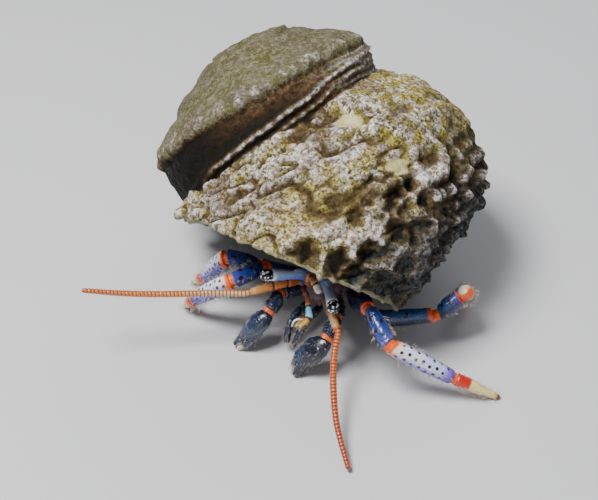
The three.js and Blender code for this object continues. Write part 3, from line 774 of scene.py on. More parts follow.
def wedge_object(name, first, last):
    """The solid whorl between two turns, out from the axis."""
    turns = np.arange(first, last + TURN_STEP / 2, TURN_STEP)
    sections = whorl_sections(turns)
    crown = np.stack([np.full(len(turns), NEAR_AXIS), sections[:, 0, 1]], axis=-1)[:, None]
    rings = np.concatenate([crown, sections], axis=1)
    return closed_loft(name, from_axis(turns[:, None], rings[..., 0], rings[..., 1]))


def hollow_object():
    """The inside of the last whorl and a little past its ends. The wall thins towards the lip."""
    turns = np.arange(NECK_TURN - 0.05, LAST_TURN + 0.1, 2 * TURN_STEP)
    sections = whorl_sections(turns)
    along = unit(np.gradient(sections, axis=1))
    wall = WALL_DEEP + (WALL_LIP - WALL_DEEP) * smoothstep(turns, *WALL_THINS)
    inner = sections + np.stack([along[..., 1], -along[..., 0]], axis=-1) * wall[:, None, None]
    inner = inner[:, PER_SPAN // 2:-PER_SPAN // 2]
    inner[..., 0] = np.maximum(inner[..., 0], PILLAR)
    corner = inner[:, :1].copy()
    corner[..., 0] = PILLAR
    inner = np.concatenate([inner, corner], axis=1)
    return closed_loft("hollow", from_axis(turns[:, None], inner[..., 0], inner[..., 1]))


def mouth_cutter():
    """A block in front of the plane of the mouth."""
    turn = Vector(MOUTH_FACING).to_track_quat("Z", "Y").to_matrix().to_4x4()
    place = Matrix.Translation(Vector(MOUTH_FACING * (MOUTH_DISTANCE + CUTTER_SIZE / 2))) @ turn
    mesh = bpy.data.meshes.new("cutter")
    with editing(mesh) as edit:
        bmesh.ops.create_cube(edit, size=CUTTER_SIZE, matrix=place)
    return linked("cutter", mesh)


def dome_object():
    """The worn, rounded tip of the spire."""
    angles = np.linspace(0, math.pi / 2, DOME["rings"])[:-1]
    out = np.concatenate([[DOME["foot_radius"]], DOME["radius"] * np.cos(angles), [DOME["hole"]]])
    top = DOME["base"] + DOME["height"]
    height = np.concatenate([[DOME["foot"]], DOME["base"] + DOME["height"] * np.sin(angles), [top]])
    turns = np.linspace(0, 1, DOME["sides"], endpoint=False)
    return closed_loft("dome", from_axis(turns, out[:, None], height[:, None]))


def shell_solid():
    """The plain shell as one closed mesh in mm: whorls, spire tip and hollow, with the mouth cut."""
    last = wedge_object("last", NECK_TURN, LAST_TURN)
    cutters = [hollow_object(), mouth_cutter()]
    for cutter in cutters:
        cut = last.modifiers.new("cut", "BOOLEAN")
        cut.operation = "DIFFERENCE"
        cut.solver = "EXACT"
        cut.object = cutter
    whorl = applied(last)
    for cutter in cutters:
        bpy.data.objects.remove(cutter)
    mesh = bpy.data.meshes.new("solid")
    with editing(mesh) as joined:
        joined.from_mesh(whorl)
        for part in (wedge_object("spire", FIRST_TURN, NECK_TURN), dome_object()):
            joined.from_mesh(part.data)
            bpy.data.objects.remove(part)
    return remeshed(linked("solid", mesh), SHELL_VOXEL, rounds=3)


def shell_coordinates(points):
    """Where each point is on the coiled surface: the turn and span of the nearest whorl outline,
    the height above that whorl (below 0 inside it), and the least height above the last whorl."""
    turns = np.arange(FIRST_TURN, LAST_TURN + 0.1, TURN_STEP)
    sections = whorl_sections(turns)
    out, angle, height = about_axis(points)
    part = np.mod((START_ANGLE - np.degrees(angle)) / 360, 1)
    count = len(points)
    best = {"turn": np.full(count, FIRST_TURN), "span": np.ones(count), "above": np.full(count, FAR)}
    in_last = np.full(count, FAR)
    for lap in range(math.floor(FIRST_TURN), 1):
        turn = part + lap
        valid = np.nonzero((turn >= FIRST_TURN) & (turn <= LAST_TURN + PAST_LIP))[0]
        for chunk in np.array_split(valid, max(1, len(valid) // POINTS_AT_ONCE)):
            place = (turn[chunk] - turns[0]) / TURN_STEP
            i = np.clip(place.astype(int), 0, len(turns) - 2)
            f = (place - i)[:, None, None]
            line = sections[i] * (1 - f) + sections[i + 1] * f
            start, step = line[:, :-1], np.diff(line, axis=1)
            to = np.stack([out[chunk], height[chunk]], axis=-1)[:, None] - start
            u = np.clip((to * step).sum(-1) / (step**2).sum(-1), 0, 1)
            gap = to - u[..., None] * step
            far = np.hypot(gap[..., 0], gap[..., 1])
            j = far.argmin(axis=1)
            rows = np.arange(len(chunk))
            outside = np.sign(step[rows, j, 0] * gap[rows, j, 1] - step[rows, j, 1] * gap[rows, j, 0])
            above = far[rows, j] * np.where(height[chunk] > line[:, 0, 1], 1, outside)
            nearer = np.abs(above) < np.abs(best["above"][chunk])
            found = {"turn": turn[chunk], "span": (j + u[rows, j]) / PER_SPAN, "above": above}
            for key, value in found.items():
                best[key][chunk] = np.where(nearer, value, best[key][chunk])
            late = turn[chunk] > NECK_TURN
            in_last[chunk] = np.where(late, np.minimum(in_last[chunk], above), in_last[chunk])
    return best["turn"], best["span"], best["above"], in_last


def worn_coil(points):
    """The suture that winds over the spire's worn top: 1 along it, 0 between its laps."""
    out, angle, _ = about_axis(points)
    through_out, through_angle, _ = about_axis(COIL["through"])
    laps = np.log(np.maximum(out, 0.1) / through_out) / np.log(COIL["growth"])
    laps += (angle - through_angle) / (2 * np.pi) + 0.07 * noise(points, 3.0, 17)
    ends = smoothstep(out, 0.8, 1.8) * smoothstep(out, 6.6, 5.2)
    return bump(laps - np.round(laps), 0, COIL["wide"]) * ends


def spire_relief(points, turn, span, coarse, middle, fine):
    """A worn top, a knobbly keel, and under it a dark hollow band crossed by two thin beaded ridges."""
    at = span + 0.14 * noise(points, 2.4, 13) + 0.05 * fine
    edge = at + 0.24 * noise(points, 0.7, 16)
    knobs = wave(turn * KNOBS_PER_TURN + 0.8 * noise(points, 2.2, 5))
    keel = bump(edge, KEEL_SPAN, 0.75)
    band_end = hermite(turn, BAND_TURNS, BAND_SPANS)
    under = smoothstep(edge, KEEL_SPAN + 0.3, KEEL_SPAN + 0.7)
    sunk = under * smoothstep(at, band_end, band_end - 0.35) * (0.3 + 0.7 * smoothstep(turn, -1.42, -1.22))
    beads = wave(turn * BEADS_PER_TURN + 0.5 * noise(points, 1.5, 6))
    clear = smoothstep(-turn, 1.03, 1.13)
    ridge = bump(at, band_end + 0.22, 0.26) * clear * (0.60 + 0.40 * beads)
    second = bump(at, band_end + 0.76, 0.20) * clear * (0.50 + 0.50 * beads)
    far = smoothstep(-turn, 1.20, 1.34)
    threads = wave(at / 0.42 + 0.3 * middle) * far * smoothstep(span, 2.9, 3.4)
    coil = worn_coil(points)
    worn_away = sum(deep * bump(np.linalg.norm(points - centre, axis=1), 0, wide)
                    for centre, wide, deep in WORN_AWAY)
    late = smoothstep(turn, -1.75, -1.52)
    banded = keel * (0.02 + 0.20 * knobs) - 0.42 * sunk + 0.26 * ridge + 0.18 * second + 0.10 * threads
    crinkle = lumps_of(noise(points, 1.1, 15))
    height = 0.24 * coarse + 0.16 * middle + 0.07 * fine + late * banded + 0.06 * crinkle
    height -= COIL["deep"] * coil * (0.7 + 0.6 * middle) + worn_away

    bare = np.minimum(np.maximum.reduce([1.3 * ridge, 1.2 * second, 0.75 * threads * far]), 1)
    low = np.maximum(smoothstep(at, KEEL_SPAN + 0.8, KEEL_SPAN + 2.4), smoothstep(turn, -1.22, -1.06))
    # The band under the keel is darkened, partly its own brown and partly painted shade under the keel; the
    # worn suture is darkened too, as painted shade.
    dark = late * under * (0.50 + 0.50 * low) * (1 - bare) * (1 - 0.55 * far * (1 - bump(at, 2.95, 0.5)))
    dark = np.maximum(dark, 0.34 * coil * (0.6 + 0.8 * middle))
    crest = late * np.maximum.reduce([keel * (0.15 + 0.35 * knobs), ridge, 0.6 * second, 0.6 * threads])
    return height, dark, crest


def whorl_relief(points, turn, arc, coarse, middle, fine):
    """Rows of nodules on spiral cords, overlapping folds towards the lip, knobs and pits between."""
    size = whorl_radius(turn)
    warp, ripple = noise(points, 4.2, 3), noise(points, 1.7, 4)
    along_mm, arc_mm = ALONG_PER_RADIUS * size, arc * size
    low, from_lip = smoothstep(arc, 0.62, 0.85), smoothstep(-turn, 0.24, 0.33)
    cord_at = arc / CORD_SPACING + 0.20 * warp + 0.15 * ripple
    cords = wave(cord_at)
    nodules = wave(turn * NODULES_PER_TURN + 0.37 * np.floor(cord_at + 0.5) + 0.35 * warp + 0.3 * ripple)
    corded = (0.7 + 0.3 * noise(points, 2.6, 19)) * (0.12 + 0.88 * from_lip) * (0.08 + 0.92 * low)

    # Folds run along the whorl near its suture, rounded, and lap over one another.
    across = along_mm / 9
    wide_at = [along_mm / 2.6, arc_mm / 0.9 + across + 0.7 * warp, 0.7 * ripple]
    fine_at = [along_mm / 1.1, arc_mm / 0.5 + across + 0.5 * ripple, 0.5 * warp]
    folds = lumps_of(noise(np.stack(wide_at, -1), 1.0, 61), 0.6)
    frills = lumps_of(noise(np.stack(fine_at, -1), 1.0, 67))
    folded = (1 - 0.75 * from_lip) * (0.35 + 0.65 * smoothstep(arc, 0.8, 0.45))

    # Ragged dark hollows between coarse knobs.
    pit_away, pit_size = scattered(points + 0.5 * np.stack([warp, ripple, coarse], axis=-1), 1.75, 83)
    pitted = smoothstep(arc, 0.52, 0.72) * smoothstep(-turn, 0.08, 0.15)
    pitted = pitted * (1 - 0.6 * smoothstep(-turn, 0.33, 0.38))
    ragged = 0.34 * noise(points, 0.8, 89) + 0.25 * noise(points, 0.42, 90)
    pits = smoothstep(pit_away + ragged, 0.70, 0.18) * smoothstep(pit_size, -0.1, 0.35) * pitted
    knobs = smoothstep(pit_away, 0.32, 0.80)
    grains = lumps_of(noise(points, 0.7, 97))

    worn = np.zeros(len(points))
    for at_turn, at_arc, wide in WORN_PATCHES:
        away = np.hypot((turn - at_turn) * 2 * np.pi * size, (arc - at_arc) * size)
        worn = np.maximum(worn, smoothstep(away + 0.7 * middle + 0.5 * fine, 1.1 * wide, 0.5 * wide))

    beaded = cords * (0.30 + 0.70 * nodules)
    detail = (0.74 * corded * (beaded ** 0.75 - 0.42) - 0.40 * low * from_lip
              + folded * (0.78 * folds + 0.34 * frills - 0.68) + 0.62 * pitted * (knobs - 0.5)
              + 0.10 * (grains - 0.7) - 0.16 * pits)
    height = (0.42 * coarse + 0.26 * middle + 0.12 * fine + detail) * (1 - 0.8 * worn)
    # Grooves between folds, furrows between cords and pits are darkened, partly stain and partly painted
    # shade in these hollows; the furrows are darker towards the lower part of the whorl, as painted shade.
    grooves = folded * np.maximum(smoothstep(folds, 0.6, 0.15), 0.7 * smoothstep(frills, 0.7, 0.15))
    shade_low = smoothstep(arc, 0.45, 0.8) * smoothstep(-turn, 0.08, 0.27)
    furrows = corded * smoothstep(beaded, 0.40, 0.05) * (0.35 + 0.65 * shade_low)
    dark = np.maximum.reduce([0.95 * pits, 0.65 * grooves, furrows]) * (1 - worn)
    crest = np.clip(corded * cords * nodules + 0.55 * folded * folds * (0.4 + 0.6 * frills)
                    + 0.85 * pitted * knobs * (0.6 + 0.4 * ripple), 0, 1)
    return height, dark, crest, worn


def shell_relief(points, turn, span, above, in_last):
    """The crust's relief in mm at each point, and the masks its material is coloured by."""
    keeled = smoothstep(turn, -0.5, -1.02)
    outside = smoothstep(in_last, -0.4, -0.1) * smoothstep(above, -0.45, -0.15)
    lengths = np.concatenate([[0], np.cumsum(np.linalg.norm(np.diff(ROUND_CURVE, axis=0), axis=1))])
    arc = np.interp(span, SPAN, lengths)
    lumps = ((3.4, 3, 11), (1.5, 3, 23), (0.62, 2, 37))
    coarse, middle, fine = (fractal(points, size, octaves, seed) for size, octaves, seed in lumps)
    spire = spire_relief(points, turn, span, coarse, middle, fine)
    *last, worn = whorl_relief(points, turn, arc, coarse, middle, fine)
    height, dark, crest = (keeled * a + (1 - keeled) * b for a, b in zip(spire, last))
    masks = {
        "outside": outside,
        "keeled": keeled,
        "high": np.clip(0.5 + 0.8 * (height - 0.3 * coarse), 0, 1),
        "dark": outside * np.clip(dark, 0, 1),
        "crest": outside * np.clip(crest, 0, 1),
        "worn": worn * (1 - keeled),
        "moss": bump(arc, 0.62, 0.4) * smoothstep(-turn, 0.3, 0.15) + 0.4 * bump(turn, -0.42, 0.12),
        # The shade mask is painted shade: the lower part of the last whorl is darkened.
        "shade": smoothstep(arc + 0.25 * middle, 0.78, 1.15) * smoothstep(-turn, 0.02, 0.22) * (1 - keeled),
    }
    return outside * height, masks


def part_of(mesh, keep, name):
    """An object of a copy of the mesh, with only the faces to keep."""
    copy = mesh.copy()
    with editing(copy) as edit:
        edit.faces.ensure_lookup_table()
        bmesh.ops.delete(edit, geom=[edit.faces[i] for i in np.nonzero(~keep)[0]], context="FACES")
    return linked(name, copy)


def build_shell():
    mesh = shell_solid()
    points = vectors_of(mesh, "co")
    turn, span, above, in_last = shell_coordinates(points)
    relief, masks = shell_relief(points, turn, span, above, in_last)
    from_mouth = np.abs(points @ MOUTH_FACING - MOUTH_DISTANCE)
    masks["lip"] = smoothstep(from_mouth, 0.3, 0.05)
    set_masks(mesh, masks)
    ragged = 0.14 * noise(points, 1.6, 81) + 0.07 * noise(points, 0.6, 82)
    ragged *= smoothstep(from_mouth, 0.9, 0.1)
    raised = vectors_of(mesh, "normal") * relief[:, None] + MOUTH_FACING * ragged[:, None]
    moved(mesh, points + raised)
    mesh.materials.append(materials["shell-crust"])

    starts = np.zeros(len(mesh.polygons), dtype=np.int32)
    mesh.polygons.foreach_get("loop_start", starts)
    inner = (in_last < INSIDE_FROM)[corners_of(mesh)[starts]]
    for name, keep in (("shell-outside", ~inner), ("shell-inside", inner)):
        obj = part_of(mesh, keep, name)
        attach(obj, "root")
        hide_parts("shell")


# ------------------------------------------------------------------ limb pieces

class Path:
    """A curve measured by its length, which runs straight on beyond its ends."""

    def __init__(self, points):
        self.points = smooth_curve(points) if len(points) > 2 else np.asarray(points, float)
        steps = np.linalg.norm(np.diff(self.points, axis=0), axis=1)
        self.at = np.concatenate([[0], np.cumsum(steps)])
        self.length = self.at[-1]

    def inside(self, distances):
        return np.stack([np.interp(distances, self.at, column) for column in self.points.T], axis=-1)

    def place(self, distances):
        """Points at these distances from the start, and the curve's directions there."""
        held = np.clip(distances, 0, self.length)
        small = self.length / 60
        tangent = unit(self.inside(held + small) - self.inside(held - small))
        return self.inside(held) + tangent * (distances - held)[:, None], tangent


def bend_normal(before, joint, after):
    """The normal, towards the tip, of the plane that halves the bend at a joint."""
    joint = np.asarray(joint, float)
    return unit(unit(joint - before) + unit(np.asarray(after, float) - joint))


def end_scale(inward, size, is_round, rim, pointed=1):
    """How a piece narrows towards one end, which rings lie this far inward from."""
    if is_round:
        return np.sqrt(np.clip(1 - (np.minimum(inward, 0) / size) ** 2, 0.001, 1)) ** pointed
    return 1 - RIM_DROP * np.clip(1 - inward / rim, 0, 1) ** 2


def rod(path, sizes, across, rows=48, sides=32, round_ends=(True, True), bends=(None, None),
        relief=None, rim=0.16, pointed=1.0):
    """A limb piece along a path, as a grid of points with what its material needs at each.

    `sizes` are its half width along `across` and half depth at equal steps, or its radii. An end is
    round and goes beyond the path, or is a plate's rim, half a gap short of the plane of its bend.
    """
    sizes = np.asarray(sizes, float)
    if sizes.ndim == 1:
        sizes = np.repeat(sizes[:, None], 2, axis=1)
    first, last = sizes[0].min(), sizes[-1].min()
    along = np.linspace(-first if round_ends[0] else 0, path.length + (last if round_ends[1] else 0), rows)
    if round_ends[0]:
        cap = -first * np.cos(np.linspace(0, np.pi / 2, CAP_RINGS))[:-1] * CAP_REACH
        along = np.concatenate([cap, along[along > 0]])
    if round_ends[1]:
        cap = path.length + last * np.sin(np.linspace(0, np.pi / 2, CAP_RINGS + 1)[1:]) * CAP_REACH
        along = np.concatenate([along[along < path.length], [path.length], cap])
    centre, tangent = path.place(along)
    stations = np.linspace(0, path.length, len(sizes))
    held = np.clip(along, 0, path.length)
    size = np.stack([hermite(held, stations, column) for column in sizes.T], axis=-1)
    scale = (end_scale(along, first, round_ends[0], rim)
             * end_scale(path.length - along, last, round_ends[1], rim, pointed))
    across = np.asarray(across, float)
    wide = unit(across - (tangent @ across)[:, None] * tangent)
    deep = np.cross(tangent, wide)
    if deep[:, 2].mean() < 0:
        deep = -deep
    angle = np.linspace(0, 2 * np.pi, sides, endpoint=False)
    cos, sin = np.cos(angle)[None, :, None], np.sin(angle)[None, :, None]
    grid = (centre[:, None] + (wide * size[:, :1] * scale[:, None])[:, None] * cos
            + (deep * size[:, 1:] * scale[:, None])[:, None] * sin)
    out = unit(wide[:, None] * cos / size[:, :1, None] + deep[:, None] * sin / size[:, 1:, None])
    length = along[-1] - along[0]
    u = np.repeat((along - along[0]) / length, sides)
    angle = np.tile(angle, len(along))
    piece = {"shape": grid.shape[:2], "centre": centre, "length": length, "radius": sizes.mean(),
             "out": out.reshape(-1, 3), "angle": angle, "u": u, "upward": np.sin(angle),
             "spot": 0 * u, "bead": 0 * u}
    for normal, start, way in zip(bends, (0, path.length), (1, -1)):
        if normal is None:
            continue
        weight = smoothstep(np.abs(along - start), min(RIM_REACH, path.length * 0.45), 0)[:, None]
        gap = ((grid - centre[:, None]) @ normal - way * GAP / 2) / (tangent @ normal)[:, None]
        grid = grid - tangent[:, None] * (gap * weight)[..., None]
    piece["points"] = grid.reshape(-1, 3)
    if relief:
        raised, masks = relief(piece)
        raised *= np.repeat(smoothstep(scale, 0.3, 0.8), sides)
        piece["points"] = piece["points"] + piece["out"] * raised[:, None]
        piece.update(masks)
    piece["points"] = above_floor(piece["points"])
    return piece


def add_piece(name, piece, paint, node=None):
    """Make the object of one limb piece, on the body, in place of its node of the frame if it has one."""
    obj = turned_outward(mesh_of(name, piece["points"], tube_faces(*piece["shape"])))
    shade_smooth(obj.data)
    set_masks(obj.data, {key: piece[key] for key in ("u", "upward", "spot", "bead")})
    obj.data.materials.append(materials[paint])
    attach(obj, "root")
    if node:
        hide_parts(node)


def near_spots(piece, places, wide):
    """1 at the given (u, angle in degrees from the top) places of a piece, 0 beyond `wide` mm."""
    spot = np.zeros(len(piece["u"]))
    for u, degrees in places:
        turn = (np.degrees(piece["angle"]) - 90 - degrees + 180) % 360 - 180
        away = np.hypot((piece["u"] - u) * piece["length"], np.radians(turn) * piece["radius"])
        spot = np.maximum(spot, smoothstep(away, wide, 0.55 * wide))
    return spot


# ------------------------------------------------------------------ reliefs of the crab's pieces

def spot_row(count, start, step, degrees, zigzag=0):
    return [(start + step * i, degrees + zigzag * (-1) ** i) for i in range(count)]


DARK_SPOTS = {
    "merus": [(0.35, 20), (0.55, -25), (0.72, 30), (0.8, -50), (0.5, 75), (0.3, -70)],
    "carpus": [(0.3, 35), (0.45, -20), (0.6, 50), (0.72, -45), (0.35, -75), (0.8, 15)],
    "propodus": [*spot_row(7, 0.17, 0.105, 14, 6), *spot_row(7, 0.14, 0.11, 62, 5),
                 *spot_row(6, 0.2, 0.11, 104), *spot_row(7, 0.15, 0.12, -40, 6),
                 *spot_row(6, 0.2, 0.12, -92)],
    "dactyl": [],
}
SPOT_WIDTH = {"merus": 0.19, "carpus": 0.19, "propodus": 0.155, "dactyl": 0.1}


def leg_relief(part):
    """Pits and dark spots, and a raised rim at the tip of each piece but the last."""
    def relief(piece):
        points = piece["points"]
        raised = 0.018 * fractal(points, 0.5, 2, 7) + 0.012 * noise(points, 0.2, 8)
        if part != "dactyl":
            raised += 0.035 * smoothstep(piece["u"], 0.88, 0.97)
        pits = smoothstep(scattered(points, 0.34, 91)[0], 0.28, 0.12)
        spot = near_spots(piece, DARK_SPOTS[part], SPOT_WIDTH[part])
        return raised - 0.02 * pits - 0.012 * spot, {"spot": spot, "bead": pits}
    return relief


def beaded_relief(size, height, seed, spare_tip=False):
    """Rounded beads, as the claws and the tail fan carry, with their tips marked."""
    def relief(piece):
        away, number = scattered(piece["points"], size, seed)
        bead = smoothstep(away, 0.42, 0.10) * (0.5 + 0.5 * number)
        if spare_tip:
            bead *= smoothstep(piece["u"], 1.0, 0.85)
        return height * bead + 0.02 * fractal(piece["points"], 0.4, 2, seed), {"bead": bead}
    return relief


def cornea_relief(seed):
    """White flecks in loose clusters over the eye."""
    def relief(piece):
        flecks = smoothstep(scattered(piece["points"], 0.25, seed)[0], 0.42, 0.30)
        flecks *= smoothstep(noise(piece["points"], 0.5, seed + 3), -0.75, -0.50)
        return 0 * flecks, {"spot": flecks}
    return relief


def ringed(piece):
    """The rings of a feeler: shallow joints between its many short segments."""
    phase = piece["u"] * piece["length"] / FEELER_RING
    joint = bump(phase - np.round(phase), 0, 0.28)
    dots = bump(piece["angle"], np.pi / 2, 0.5) * bump(phase - np.floor(phase) - 0.5, 0, 0.22)
    return -0.035 * joint, {"spot": joint, "bead": dots}


def segmented(*joints_at):
    """The few long segments of a stem."""
    def relief(piece):
        joint = sum(bump(piece["u"], at, 0.035) for at in joints_at)
        flare = sum(bump(piece["u"], at - 0.05, 0.05) for at in joints_at)
        raised = -0.07 * joint + 0.03 * flare + 0.012 * noise(piece["points"], 0.3, 14)
        return raised, {"spot": np.clip(joint, 0, 1)}
    return relief


def shield_relief(piece):
    """A smooth plate with a shallow groove across it, and low wrinkles along its sides."""
    points = piece["points"]
    groove = bump(piece["u"] - 0.10 * np.cos(2 * piece["angle"]), 0.58, 0.07)
    wrinkles = noise(points * np.array([1, 0.4, 1]), 0.35, 51)
    blotches = 0.55 * smoothstep(noise(points, 0.45, 52), -0.2, 0.7)
    return 0.02 * wrinkles - 0.06 * groove, {"spot": groove, "bead": blotches}


# ------------------------------------------------------------------ the crab

def build_walking_leg(name, side, joints):
    """The four plates of a leg, as (part, piece) from its root."""
    ends = joints[1:]
    at_bends = [None, *(bend_normal(*ends[i:i + 3]) for i in range(3)), None]
    pieces = []
    for i, (part, sizes) in enumerate(LEG_SIZES.items()):
        path = Path(joints[:3]) if part == "merus" else Path(ends[i:i + 2])
        bends = at_bends[i:i + 2]
        round_ends = [part == "merus", part == "dactyl"]
        paint = f"leg-{part}"
        if (name, side) == FOLDED_LEG and part == "carpus":
            # Folded right back, its knee shows as the round head of the propodus.
            path = Path([ends[1], between(ends[1], ends[2], KNEE_BARED)])
            bends[1] = None
            paint = "leg-carpus-teal"
        if (name, side) == FOLDED_LEG and part == "propodus":
            bends[0] = None
            round_ends[0] = True
            paint = "leg-propodus-pale"
        piece = rod(path, sizes, (side[1] * LEG_ACROSS[0], *LEG_ACROSS[1:]), rows=112, sides=80,
                    round_ends=round_ends, bends=bends, relief=leg_relief(part), pointed=1.5)
        node = f"{name}-{side[0]}-{part}"
        add_piece(f"{node}-plate", piece, paint, node)
        pieces.append((part, piece))
    return pieces


def kept_off(piece, path, room):
    """Push a piece's points off the path of its neighbour."""
    line = path.place(np.linspace(0, path.length, 40))[0]
    gap = piece["points"][:, None] - line[None]
    far = np.linalg.norm(gap, axis=-1)
    nearest = far.argmin(axis=1)
    rows = np.arange(len(nearest))
    push = np.maximum(room - far[rows, nearest], 0) / np.maximum(far[rows, nearest], 0.05)
    piece["points"] = above_floor(piece["points"] + gap[rows, nearest] * push[:, None])


def build_claw_arm(side, joints):
    """The plates of a claw arm, whose palm ends in the fixed finger."""
    hip, elbow, wrist, knuckle, tip = (np.array(j) for j in joints)
    elbow_bend, wrist_bend = bend_normal(hip, elbow, wrist), bend_normal(elbow, wrist, knuckle)
    pointing = unit(tip - knuckle)
    inward = np.array([-side[1], 0.0, 0.0])
    inward = unit(inward - (inward @ pointing) * pointing)
    spots = (knuckle, between(knuckle, tip, 0.5), tip)
    finger_path = Path([p + inward * amount for p, amount in zip(spots, FINGER_INWARD)])
    palm_path = Path([wrist, knuckle, tip - inward * FIXED_TIP_OUTWARD])
    plan = [("merus", Path([hip, elbow]), (True, False), (None, elbow_bend)),
            ("carpus", Path([elbow, wrist]), (False, False), (elbow_bend, wrist_bend)),
            ("palm", palm_path, (False, True), (wrist_bend, None)),
            ("finger", finger_path, (True, True), (None, None))]
    pieces = []
    for part, path, round_ends, bends in plan:
        piece = rod(path, CLAW_SIZES[part], (side[1] * CLAW_ACROSS[0], *CLAW_ACROSS[1:]), rows=64, sides=48,
                    round_ends=round_ends, bends=bends, relief=beaded_relief(*CLAW_BEADS[part]), pointed=1.2)
        if part == "palm":
            kept_off(piece, finger_path, FINGER_ROOM)
        node = f"claw-{side[0]}-{part}"
        paint = "claw-finger" if part == "finger" else "claw-plate"
        add_piece(f"{node}-plate", piece, paint, node)
        pieces.append(("claw", piece))
    return pieces


def build_eye(side, base, tip):
    """A stalk, the cornea on its tip, and the toothed scale over its root."""
    base, tip = np.array(base), np.array(tip)
    along = unit(tip - base)
    across = np.cross(along, ALONG_Z)
    stalk = rod(Path([base, tip - along * GAP / 2]), EYE["stalk"], across, rows=56, sides=40,
                round_ends=(True, False), rim=0.1)
    streak = smoothstep(stalk["upward"] + 0.2 * noise(stalk["points"], 0.5, 12), 0.72, 0.97)
    stalk["bead"] = 0.8 * streak * bump(stalk["u"], 0.5, 0.32)
    add_piece(f"eyestalk-{side[0]}-skin", stalk, "eyestalk", f"eyestalk-{side[0]}")

    # The cornea fills the gap to the stalk and bulges a little past its rim.
    start = tip - along * (GAP / 2 + EYE["overlap"])
    end = tip + along * (GAP / 2 + EYE["cornea_length"] - EYE["cornea"] - EYE["sunk"])
    cornea = rod(Path([start, end]), [EYE["cornea"] * b for b in EYE["bulge"]], across, rows=100, sides=120,
                 round_ends=(False, True), rim=0.05, relief=cornea_relief(EYE_FLECKS[side[0]]))
    add_piece(f"eye-{side[0]}-cornea", cornea, "cornea", f"eye-{side[0]}")

    root = base + along * EYE_SCALE["along"] + np.array([0, 0, EYE_SCALE["above"]])
    end = root + along * EYE_SCALE["length"] - np.array([0, 0, EYE_SCALE["droop"]])
    scale = rod(Path([root, end]), EYE_SCALE["sizes"], across, rows=24, sides=20)
    add_piece(f"eye-scale-{side[0]}", scale, "eyestalk")


def build_antenna(side, stem, whip):
    """A jointed stem, the long ringed feeler on it, and the scale beside its root."""
    path = Path(stem)
    stem_piece = rod(path, STEM_SIZES, ALONG_Z, rows=72, relief=segmented(*STEM_JOINTS))
    node = f"antenna-stem-{side[0]}"
    add_piece(f"{node}-plate", stem_piece, "antenna-stem", node)
    end, tangent = (v[0] for v in path.place(np.array([path.length])))
    path = Path([end + tangent * 0.1, end + tangent * (STEM_SIZES[-1][0] + GAP), *whip])
    rows = int(path.length / FEELER_RING * ROWS_PER_RING)
    feeler = rod(path, FEELER_SIZES, ALONG_Z, rows=rows, sides=20, relief=ringed)
    node = f"antenna-{side[0]}"
    add_piece(f"{node}-rings", feeler, f"feeler-{side[0]}", node)

    root, bend = np.array(stem[0]), np.array(stem[1])
    start = between(root, bend, ANTENNA_SCALE["along"]) + np.array(ANTENNA_SCALE["out"]) * (side[1], 1, 1)
    end = start + unit(bend - root) * ANTENNA_SCALE["length"]
    spine = rod(Path([start, end]), ANTENNA_SCALE["sizes"], ALONG_Z, rows=24, sides=16)
    add_piece(f"antenna-scale-{side[0]}", spine, "antenna-stem")
    return stem_piece


def build_antennule(side, points):
    """A small feeler: a jointed rod, one with a bright segment and a pale hook."""
    name = f"antennule-{side[0]}"
    sizes, joints = ANTENNULE_LOOKS[side[0]]
    piece = rod(Path(points), sizes, ALONG_Z, rows=90, sides=24, relief=segmented(*joints))
    add_piece(f"{name}-rod", piece, name, name)
    if side is RIGHT:
        hook = rod(Path(ANTENNULE_HOOK), [0.09, 0.08, 0.07, 0.03], ALONG_Z, rows=40, sides=14)
        add_piece(f"{name}-hook", hook, "antennule-hook")
    return piece


def limb_points(limb, side):
    """The points of a small limb on one side, from how far out of its plane of symmetry each is."""
    return [(limb["midline"] + side[1] * out, y, z) for out, y, z in limb["out"]]


def build_small_parts():
    """Mouth limbs, small fourth legs, shield and tail fan. Returns the mouth limbs."""
    palps = []
    for side in (LEFT, RIGHT):
        palp = rod(Path(limb_points(MOUTH_LIMB, side)), MOUTH_LIMB["sizes"], ALONG_X, rows=64, sides=28,
                   relief=segmented(*MOUTH_LIMB["joints"]))
        add_piece(f"mouth-limb-{side[0]}-plate", palp, "claw-plate", f"mouth-limb-{side[0]}")
        palps.append(palp)
        leg = rod(Path(limb_points(SMALL_LEG, side)), SMALL_LEG["sizes"], ALONG_Z, rows=56, sides=28,
                  relief=segmented(*SMALL_LEG["joints"]))
        add_piece(f"leg4-{side[0]}-plate", leg, "claw-plate", f"leg4-{side[0]}")
    shield = rod(Path(SHIELD[0]), SHIELD[1], ALONG_X, rows=110, sides=96, relief=shield_relief)
    add_piece("shield-plate", shield, "shield-plate", "shield")
    fan = rod(Path(TAIL_FAN[0]), TAIL_FAN[1], ALONG_X, rows=40, sides=48, relief=beaded_relief(*TAIL_BEADS))
    add_piece("tail-fan-plate", fan, "claw-plate", "tail-fan")
    return palps


